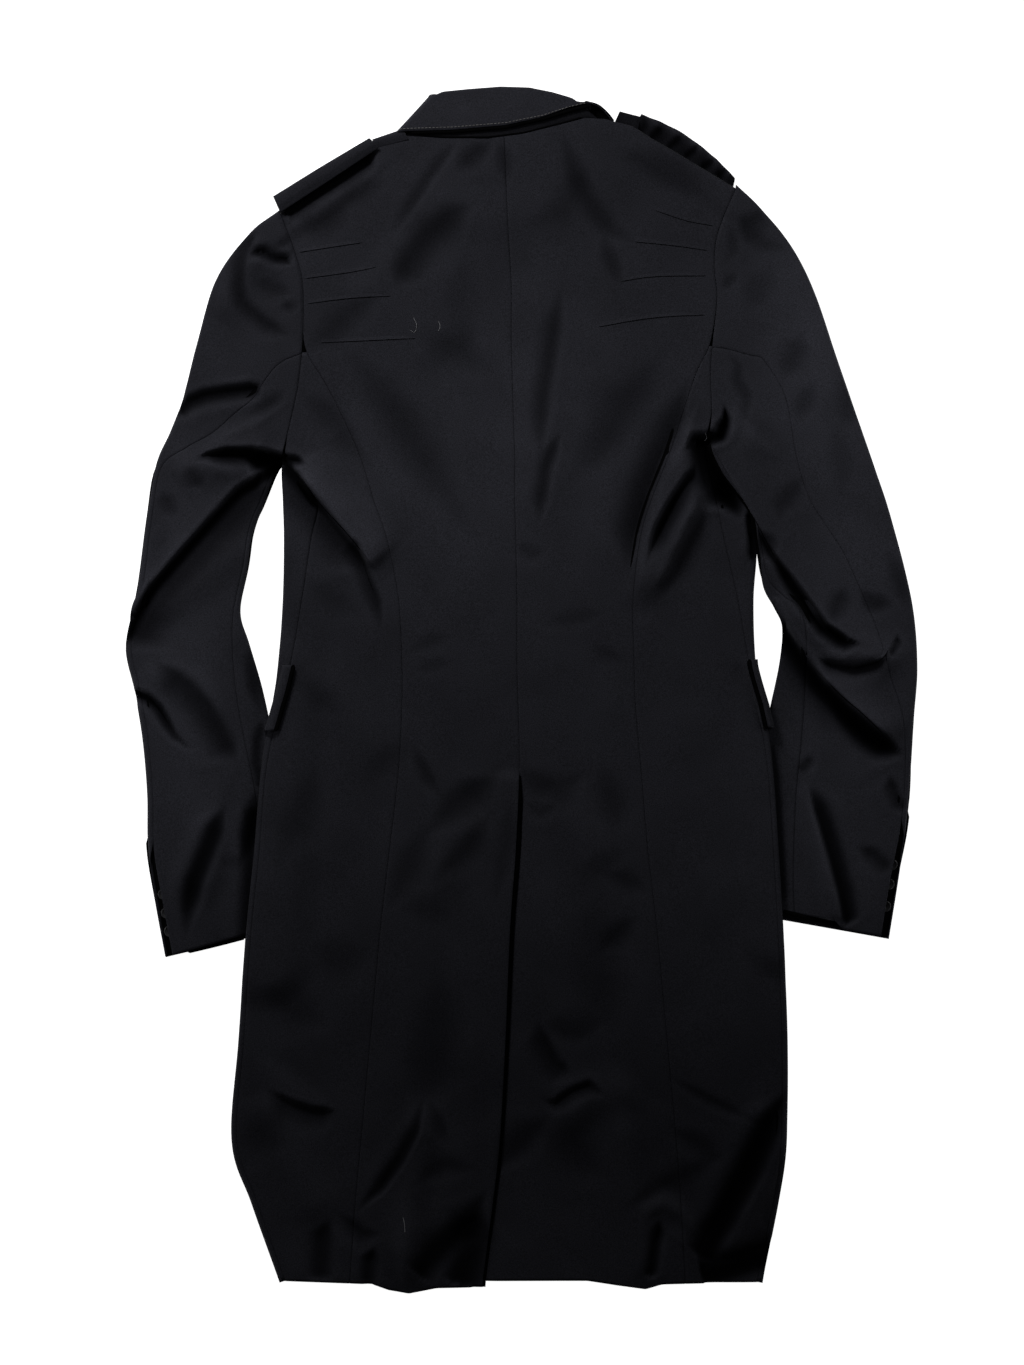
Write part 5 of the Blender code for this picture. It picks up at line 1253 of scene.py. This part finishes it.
# Where the cloth has folded over itself: it lies on the left of the line.
FoldEdge = namedtuple("FoldEdge", "depth step points")
BODY_FOLD_EDGES = [
    FoldEdge(9, 1.6, [(-202, 199), (-187, 178), (-177, 164), (-155, 140), (-137, 118), (-127, 105)]),
    FoldEdge(5, 0.8, [(-149, 133), (-140, 114), (-132, 92), (-125, 74)]),
]
LEFT_SLEEVE_FOLD_EDGES = [
    FoldEdge(8, 1.4, [(-348, 40), (-326, 89), (-299, 120), (-271, 150), (-249, 174), (-228, 187)]),
    FoldEdge(7, 1.2, [(-286, 202), (-274, 209), (-252, 210), (-233, 209), (-212, 204)]),
    FoldEdge(4, 0.8, [(-341, 2), (-327, -8), (-315, -22), (-308, -38)]),
]
RIGHT_SLEEVE_FOLD_EDGES = [
    FoldEdge(8, 1.8, [(171, 209), (188, 178), (205, 149), (231, 103), (256, 64), (270, 50), (296, 42)]),
    FoldEdge(8, 1.4, [(247, 34), (257, 20), (279, -3), (304, -25), (335, -56)]),
    FoldEdge(4, 0.9, [(256, 33), (270, 23), (294, 20), (316, 28), (329, 51)]),
]
# Black cords between the two layers of a cuff's hem, painted as the shade of the hollow there.
CUFF_HOLLOWS = {
    "left": ([(-293.5, -230.1, 2.0), (-268, -224, 2.0), (-243.3, -217.6, 2.0)], 1.8),
    "right": ([(229, -194.5, 2.0), (250, -199.5, 2.0), (277, -206, 2.0)], 3.4),
}
# Loose white threads, and short ends of thread that hang out of seams.
LOOSE_THREADS = [
    [(-95, 327), (-92, 320), (-94, 314), (-98, 316)],
    [(-73, 324), (-71.5, 319), (-73, 315)],
    [(-104, -462), (-102.6, -468), (-102.2, -475)],
    [(161, 226), (163, 222), (161, 219)],
]
# How thick each line is, as a radius.
STITCH, LOOSE_THREAD, TUCK_SHADE, FOLD_SHADE, NECK_SHADE = 0.32, 0.16, 0.42, 0.5, 0.5
COLLAR_RIM, COLLAR_SHADE, FLAP_SHADE, FLAP_RIM = 0.9, 2.1, 2.2, 1.2
COLLAR_SHADE_SPAN, NECK_SEAM_SPAN = (-98.0, 60.0), (-92.0, 54.0)   # x from left to right
THREAD_TIP = 0.35      # a line's radius at its ends, as a share
STITCH_LENGTH, STITCH_SPACE = 2.3, 0.9
STITCH_INSET = 0.65    # from the fall's last column to the third from last, as a share
STITCH_LIFT = 0.3
BACK_OF_NECK = (480.0, 12.0)       # y and z above which the fall's edge is on the back and shows
STITCH_ARCH = 0.18 * np.array([-1.0, 0.6, 1.0, 0.6, -1.0])   # height along a stitch, its ends in the cloth

# Seam allowances: the turned-in cloth that closes each seam from below. They are painted near-black, so the
# gaps at seams, in the back vent and at the open cuffs show as painted shade.
ALLOWANCE = 5.0
ALLOWANCE_DEPTH = 1.5
CUFF_HOLLOW = 3.5      # how much deeper they lie at the open cuff
CUFF_SLIT = 7.0        # and how far they reach there
ALLOWANCE_THICK = 0.5
VENT_BAND = 60.0       # the vent is this near the middle of the coat
VENT_SLIT = [  # at y, how far they reach in the back vent, where they show as its painted shadow
    (-520.0, 2.4), (-380.0, 3.0), (-186.0, 3.9), (-135.0, 4.4), (-95.0, 3.8), (-72.0, 1.2), (-66.0, 5.0)]


def cord(lines, radius, sides=6):
    """Round threads along lines of points, as one mesh's points and faces."""
    points, quads, start = [], [], 0
    angle = np.linspace(0.0, 2 * math.pi, sides, endpoint=False)[None, :, None]
    for line in lines:
        line = np.array(line, float)
        way = directions(line)
        flat = np.cross(way, [0.0, 0.0, 1.0])
        flat /= np.maximum(np.linalg.norm(flat, axis=1), TINY)[:, None]
        up = np.cross(flat, way)
        girth = np.full(len(line), radius)
        girth[[0, -1]] *= THREAD_TIP
        ring = line[:, None] + girth[:, None, None] * (
            np.cos(angle) * flat[:, None] + np.sin(angle) * up[:, None])
        points.append(ring.reshape(-1, 3))
        index, ahead = numbered(len(line), sides)
        quads.append(start + np.stack([index[:-1], ahead[:-1], ahead[1:], index[1:]], -1).reshape(-1, 4))
        for row, order in ((index[0], 1), (index[-1], -1)):
            quads += [start + row[[0, k, k + 1, k + 2]][None, ::order] for k in range(1, sides - 2, 2)]
        start += len(line) * sides
    return np.concatenate(points), np.concatenate(quads)


def sewing(name, lines, material, radius):
    trimming(name, cord(lines, radius), material)


def stitches(line):
    """Short pieces of a line: the stitches that show."""
    fine = resample(line, 0.4)
    way = distances(fine)
    pieces = []
    for begin in np.arange(0.5, way[-1] - STITCH_LENGTH, STITCH_LENGTH + STITCH_SPACE):
        piece = points_at(fine, way, np.linspace(begin, begin + STITCH_LENGTH, len(STITCH_ARCH)))
        piece[:, 2] += STITCH_ARCH
        pieces.append(piece)
    return pieces


def laid_on(x, y, top, up):
    """A line at a height above the cloth."""
    return np.stack([x, y, top(x, y) + up], 1)


def tuck(points, top, depth=TUCK_DEPTH, step=TUCK_STEP, fade=TUCK_FADE):
    """A fold of cloth on the left of its line: it rises from the cloth and ends in a step along the line."""
    line = resample(points, 1.5)
    way = directions(line)
    share = np.linspace(0.0, 1.0, len(line))
    full = smooth(share / fade[0]) * smooth((1.0 - share) / fade[1])
    rise = [(depth, -0.7 / step)] + [(depth * away, up) for away, up in FOLD_PROFILE]
    rings = []
    for away, up in rise + FOLD_LIP + [(depth, -FOLD_FOOT)]:
        x, y = line[:, 0] - way[:, 1] * away * full, line[:, 1] + way[:, 0] * away * full
        rings.append(laid_on(x, y, top, up * step * full - TUCK_SINK * (1 - full)))
    points = np.stack(rings, 1)
    index, ahead = numbered(*points.shape[:2])
    caps = np.array([[0, 1, 2, 3], [0, 3, 4, 5], [0, 5, 6, 7]])
    quads = np.concatenate([ring_faces(index, ahead), index[0][caps], index[-1][caps[:, ::-1]]])
    return points.reshape(-1, 3), quads


def tuck_foot(points, top, trim=TUCK_TRIM):
    """Line of the black cord painted as the shadow along a tuck's step."""
    line = resample(points, 2.0)
    line = line[round(trim * 0.5 * len(line)):round((1.0 - trim) * len(line))]
    way = directions(line)
    x, y = line[:, 0] + SHADE_AWAY * way[:, 1], line[:, 1] - SHADE_AWAY * way[:, 0]
    return laid_on(x, y, top, -SHADE_SINK)


def joined(parts):
    """Several pieces' points and faces as one."""
    points, quads, start = [], [], 0
    for p, q in parts:
        points.append(p)
        quads.append((q[:, ::-1] if volume(p, q) < 0 else q) + start)
        start += len(p)
    return np.concatenate(points), np.concatenate(quads)


def under_collar():
    """Middle of the black cord painted as the shadow below the collar's free edge."""
    x = np.linspace(*COLLAR_SHADE_SPAN, 60)
    y = edge_y(FALL_EDGE, x) - 1.2 - 1.8 * toward_right(x)
    return laid_on(x, y, body_top, 1.4)


def neck_line():
    x = np.linspace(*NECK_SEAM_SPAN, 60)
    return laid_on(x, edge_y(TOP_EDGE, x) + 0.4, body_top, 0.3)


def loose_threads():
    return [laid_on(*resample(points, 0.8).T, body_top, 0.35) for points in LOOSE_THREADS]


def allowance(path, sink=ALLOWANCE_DEPTH, reach=ALLOWANCE):
    """A flat ribbon under a seam, along a panel's edge."""
    every = 2 if len(path) > 8 else 1
    sink, reach = (np.full(len(path), value)[::every, None] for value in (sink, reach))
    path = path[::every]
    way = directions(path[:, :2])
    across = np.stack([-way[:, 1], way[:, 0], 0 * way[:, 0]], 1) * reach
    down = sink * np.array([0.0, 0.0, 1.0])
    thick = np.array([0.0, 0.0, ALLOWANCE_THICK])
    rings = np.stack([path - across - down - thick, path - down, path + across - down - thick,
                      path - down - 2 * thick], 1)
    index, ahead = numbered(*rings.shape[:2])
    return rings.reshape(-1, 3), np.concatenate([ring_faces(index, ahead), index[:1], index[-1:, ::-1]])


def seam_allowances(side, piece, outer):
    """Along a panel's first and last column. At the open cuff they lie deep, under the buttons."""
    first, last = outer[:, 0], outer[:, -1]
    cuff = cuff_start(side)
    if piece is topsleeve:
        return [allowance(first[:cuff]), allowance(last)]
    if piece is undersleeve:
        opened = np.arange(len(first)) >= cuff
        reach = np.where(opened, CUFF_SLIT, ALLOWANCE)
        return [allowance(first, ALLOWANCE_DEPTH + CUFF_HOLLOW * opened, reach), allowance(last)]
    if piece is back and side == "left":
        return [allowance(line, reach=vent_reach(line)) for line in (first, last)]
    return [allowance(first), allowance(last)]


def vent_reach(line):
    """How far an allowance reaches beside the back vent."""
    return np.where(np.abs(line[:, 0]) < VENT_BAND, np.interp(line[:, 1], *zip(*VENT_SLIT)), ALLOWANCE)


# ---- finishes ----
TROUGH_PAINTED_SHADE = 0.21     # how much darker the cloth is painted, as shade, for each millimetre of a trough's depth
RIDGE_PAINTED_HIGHLIGHT = 0.08      # and how much lighter it is painted, as a highlight, for each millimetre of a ridge
GRAIN_SCALE, MOTTLE_SCALE = 1000.0, 22.0     # specks and patches to the metre
GRAIN_TONE, MOTTLE_TONE = (-0.35, 2.35), (0.72, 1.28)
GRAIN_RELIEF = 0.0004                        # metres
# Where the cloth is painted lighter or darker than the rest, as painted light and shade: lighter on the
# sleeves and the back, darker toward the hem and under the right arm. Each: centre, reach across and along,
# share.
Patch = namedtuple("Patch", "x y across along_y share")
PAINTED_LIGHT_PATCHES = [
    Patch(272, 320, 70, 120, 0.75),      # right upper sleeve
    Patch(300, 110, 70, 120, 0.45),      # right elbow
    Patch(280, -120, 70, 110, 0.35),     # right forearm
    Patch(-300, 60, 60, 160, 0.4),       # left elbow
    Patch(-285, -110, 60, 100, 0.25),    # left forearm
    Patch(-40, 180, 110, 120, 0.32),     # small of the back
    Patch(-150, 180, 50, 60, 0.3),       # left underarm
    Patch(-25, 512, 120, 30, 0.1),       # collar
    Patch(0, -330, 330, 150, -0.3),      # lower skirt
    Patch(200, -460, 110, 110, -0.35),   # right corner of the hem
    Patch(-70, -500, 60, 60, -0.25),     # beside the vent at the hem
    Patch(140, 180, 50, 60, -0.12),      # right underarm
    Patch(80, 250, 120, 120, 0.2),       # right shoulder blade
]


def painted_light_tone(x, y, relief):
    """How light the cloth is painted at (x, y): its patches of painted light and shade, painted shade in
    troughs and a slight painted highlight on ridges.
    """
    depth = relief(x, y) if relief else np.zeros_like(x)
    tone = np.exp(TROUGH_PAINTED_SHADE * np.minimum(depth, 0.0) + RIDGE_PAINTED_HIGHLIGHT * np.maximum(depth, 0.0))
    for patch in PAINTED_LIGHT_PATCHES:
        away = ((x - patch.x) / patch.across) ** 2 + ((y - patch.y) / patch.along_y) ** 2
        tone *= 1.0 + patch.share * np.exp(-away)
    return tone


def set_inputs(tree, node, inputs):
    """Each input is a number or the output that feeds it."""
    for name, value in inputs.items():
        if isinstance(value, bpy.types.NodeSocket):
            tree.links.new(value, node.inputs[name])
        else:
            node.inputs[name].default_value = value


def add_node(tree, kind, output, inputs, operation=None):
    """The output of a new shader node."""
    node = tree.nodes.new("ShaderNode" + kind)
    if operation:
        node.operation = operation
    set_inputs(tree, node, inputs)
    return node.outputs[output]


def new_material(name, inputs):
    material = bpy.data.materials.new(name)
    material.use_nodes = True
    shader = material.node_tree.nodes["Principled BSDF"]
    set_inputs(material.node_tree, shader, inputs)
    return material, material.node_tree, shader


def cloth(name, colour, specular=0.12, sheen=0.05):
    """Black twill: a fine uneven grain in colour and height, and a little sheen. The fade attribute paints
    light and shade into its colour, specular and sheen.
    """
    material, tree, shader = new_material(name, {"Roughness": 0.8, "Sheen Roughness": 0.4})
    place = add_node(tree, "TexCoord", "Object", {})
    grain = add_node(tree, "TexNoise", "Fac",
                     {"Vector": place, "Scale": GRAIN_SCALE, "Detail": 3.0, "Roughness": 0.7})
    mottle = add_node(tree, "TexNoise", "Fac", {"Vector": place, "Scale": MOTTLE_SCALE, "Detail": 3.0})
    tones = [add_node(tree, "MapRange", "Result", {"Value": value, "To Min": low, "To Max": high})
             for value, (low, high) in ((grain, GRAIN_TONE), (mottle, MOTTLE_TONE))]
    attribute = tree.nodes.new("ShaderNodeAttribute")
    attribute.attribute_name = "fade"
    fade = attribute.outputs["Fac"]
    tone = add_node(tree, "Math", "Value", {0: tones[0], 1: tones[1]}, "MULTIPLY")
    # worn: the grain's tone times the painted light and shade of the fade attribute
    worn = add_node(tree, "Math", "Value", {0: tone, 1: fade}, "MULTIPLY")
    base = add_node(tree, "VectorMath", "Vector", {0: colour, "Scale": worn}, "SCALE")
    # Where fade paints shade, the specular and sheen go too, so troughs look black as shade.
    gloss = {}
    for share, name in ((specular, "Specular IOR Level"), (sheen, "Sheen Weight")):
        gloss[name] = add_node(tree, "Math", "Value", {0: fade, 1: share}, "MULTIPLY")
        gloss[name].node.use_clamp = True
    bump = add_node(tree, "Bump", "Normal", {"Strength": 0.35, "Distance": GRAIN_RELIEF, "Height": grain})
    set_inputs(tree, shader, {"Base Color": base, "Normal": bump, **gloss})
    return material


def plain(name, colour, roughness, **inputs):
    return new_material(name, {"Base Color": (*colour, 1.0), "Roughness": roughness, **inputs})[0]


# ---- the coat ----
def make_coat():
    twill = cloth("black_twill", (0.0225, 0.0228, 0.0295))
    # A darker copy of the twill, painted as shade, for the collar stand under the fall.
    shade = cloth("black_twill_painted_shade", (0.0085, 0.0085, 0.0108), specular=0.05, sheen=0.0)
    # Near-black cloth for everything that stands in for shade: seam allowances, cords along folds and tucks,
    # and hollows.
    dark = cloth("painted_shade_black", (0.002, 0.002, 0.0022), specular=0.02, sheen=0.0)
    horn = plain("black_horn", (0.045, 0.045, 0.048), 0.25)
    thread = plain("worn_thread", (0.16, 0.155, 0.15), 0.6)
    for side in ("left", "right"):
        make_panels(side, twill, dark)
        make_shoulder_and_pocket(side, twill, dark)
        for number, row in enumerate(BUTTON_ROWS, 1):
            cuff_button(side, number, row, horn)
        tucks = TUCKS[side]
        trimming("tucks_" + side, joined([tuck(line, body_top) for line in tucks]), twill, body_relief)
        # Black cords along each tuck's step, painted as its shadow.
        sewing("tuck_stitching_" + side, [tuck_foot(line, body_top) for line in tucks], dark, TUCK_SHADE)
    make_folds(twill, dark)
    away, up, trim = FLAP_EDGE
    sewing("flap_lip", [flap_line("right", FLAP_LIP["right"] - away, up, trim)], twill, FLAP_RIM)
    # Black cords at the cuffs' hems, painted as shade.
    for side, (points, radius) in CUFF_HOLLOWS.items():
        sewing("cuff_painted_shade_" + side, [resample(points, 1.5)], dark, radius)
    lint = plain("white_thread", (0.32, 0.32, 0.34), 0.8)
    sewing("loose_threads", loose_threads(), lint, LOOSE_THREAD)
    make_collar(twill, shade, dark, thread)


def make_panels(side, twill, dark):
    turned = []
    for piece in (back, side_back, front, undersleeve, topsleeve):
        node = f"{piece.__name__}_{side}"
        faces = piece(side)
        relief = sleeve_relief if piece in (undersleeve, topsleeve) else body_relief
        shell(node + "_cloth", faces, twill, node, relief)
        if piece is not front:
            turned += seam_allowances(side, piece, faces[0])
    turned.append(allowance(armhole_edge(side)))
    # The allowances are near-black: painted shade in the seams' gaps.
    trimming("seam_allowances_" + side, joined(turned), dark)


def make_shoulder_and_pocket(side, twill, dark):
    # On the right, the epaulette and keeper are painted dark as shade, with a painted highlight on the rim
    # and painted shade in the puckers.
    pushed = pushed_painted_light if side == "right" else None
    for name, faces, relief in (("epaulette", strap(EPAULETTES[side], 110), pushed),
                                ("keeper", strap(KEEPERS[side], 24), pushed),
                                ("pocket_flap", pocket_flap(side), None)):
        shell(f"{name}_{side}_cloth", faces, twill, f"{name}_{side}", relief)
    # A black cord inside each flap's lip, painted as its shade.
    away, up = FLAP_HOLLOW
    sewing("flap_painted_shade_" + side, [flap_line(side, FLAP_LIP[side] - away, up)], dark, FLAP_SHADE)


def make_folds(twill, dark):
    """Large folds that lie over the cloth beside them, each with a black cord along its edge, painted as its
    shadow.
    """
    for name, edges, top, relief in (
            ("body_folds", BODY_FOLD_EDGES, body_top, body_relief),
            ("left_sleeve_folds", LEFT_SLEEVE_FOLD_EDGES, sleeve_top, sleeve_relief),
            ("right_sleeve_folds", RIGHT_SLEEVE_FOLD_EDGES, sleeve_top, sleeve_relief)):
        folded = [tuck(edge.points, top, edge.depth, edge.step, FOLD_FADE) for edge in edges]
        trimming(name, joined(folded), twill, relief)
        feet = [tuck_foot(edge.points, top, FOLD_TRIM) for edge in edges]
        sewing(name + "_shade", [foot[int(SHADE_START * len(foot)):] for foot in feet], dark, FOLD_SHADE)


def make_collar(twill, shade, dark, thread):
    # The stand is cut from the darker twill copy: painted shade under the fall.
    shell("collar_stand_cloth", collar_stand(), shade, "collar_stand")
    # The curl's inside is near-black: painted shade of the hollow.
    shell("collar_curl", collar_curl(), dark)
    rim = resample([(*point, RIM_HEIGHT - RIM_FALL * k) for k, point in enumerate(CURL)], 1.0)
    sewing("collar_rim", [rim], twill, COLLAR_RIM)
    fall = collar_fall()
    shell("collar_fall_cloth", fall, twill, "collar_fall")
    # A black cord below the fall's free edge, painted as its shadow.
    sewing("collar_painted_shadow", [under_collar()], dark, COLLAR_SHADE)
    sewing("neck_seam", [neck_line()], dark, NECK_SHADE)
    edge, row_inside = fall[0][-1], fall[0][-3]
    on_the_back = (edge[:, 2] > BACK_OF_NECK[1]) & (edge[:, 1] > BACK_OF_NECK[0])
    line = ((1.0 - STITCH_INSET) * edge + STITCH_INSET * row_inside)[on_the_back]
    line[:, 2] += STITCH_LIFT
    sewing("collar_stitching", stitches(line), thread, STITCH)


# ---- floor, lights and camera ----
FLOOR_REACH, FLOOR_DEPTH = 4000.0, -0.6
WHITE = (1.0, 1.0, 1.0, 1.0)
CAMERA_HEIGHT = 4.0
VIEW_CENTRE = (-0.0084, 0.0066)
VIEW_LENGTH = 1.2012
SENSOR = 36.0
LIGHTS = [  # name, place, where it points, size, power
    ("key", (-0.5, 1.1, 0.8), (-0.05, 0.1, 0.0), (0.35, 0.3), 7.1),
    ("right", (0.95, 0.3, 0.6), (0.25, 0.1, 0.0), (0.4, 0.4), 1.5),
    ("left", (-0.95, 0.0, 0.6), (-0.25, 0.1, 0.0), (0.4, 0.4), 1.0),
]


def area_light(name, place, target, size, power):
    data = bpy.data.lights.new(name, "AREA")
    data.shape = "RECTANGLE"
    data.size, data.size_y = size
    data.energy = power
    light = placed(name, data)
    light.location = place
    light.rotation_euler = (Vector(target) - Vector(place)).to_track_quat("-Z", "Y").to_euler()


def make_stage():
    white = plain("floor_white", (0.9, 0.9, 0.9), 0.9, **{
        "Emission Color": WHITE, "Emission Strength": 1.0, "Specular IOR Level": 0.0})
    corners = FLOOR_REACH * np.array([(-1, -1, 0), (1, -1, 0), (1, 1, 0), (-1, 1, 0)]) + (0, 0, FLOOR_DEPTH)
    floor = mesh_of("floor", corners, np.array([[0, 1, 2, 3]]), white)
    floor.visible_glossy = False
    world = bpy.data.worlds.new("studio")
    world.use_nodes = True
    set_inputs(world.node_tree, world.node_tree.nodes["Background"], {"Color": WHITE, "Strength": 0.02})
    bpy.context.scene.world = world
    for light in LIGHTS:
        area_light(*light)


def make_camera():
    data = bpy.data.cameras.new("camera")
    data.sensor_width = SENSOR
    data.lens = SENSOR * CAMERA_HEIGHT / VIEW_LENGTH
    camera = placed("camera", data)
    camera.location = (*VIEW_CENTRE, CAMERA_HEIGHT)
    bpy.context.scene.camera = camera
    bpy.context.scene.view_settings.view_transform = "Standard"


make_coat()
make_stage()
make_camera()
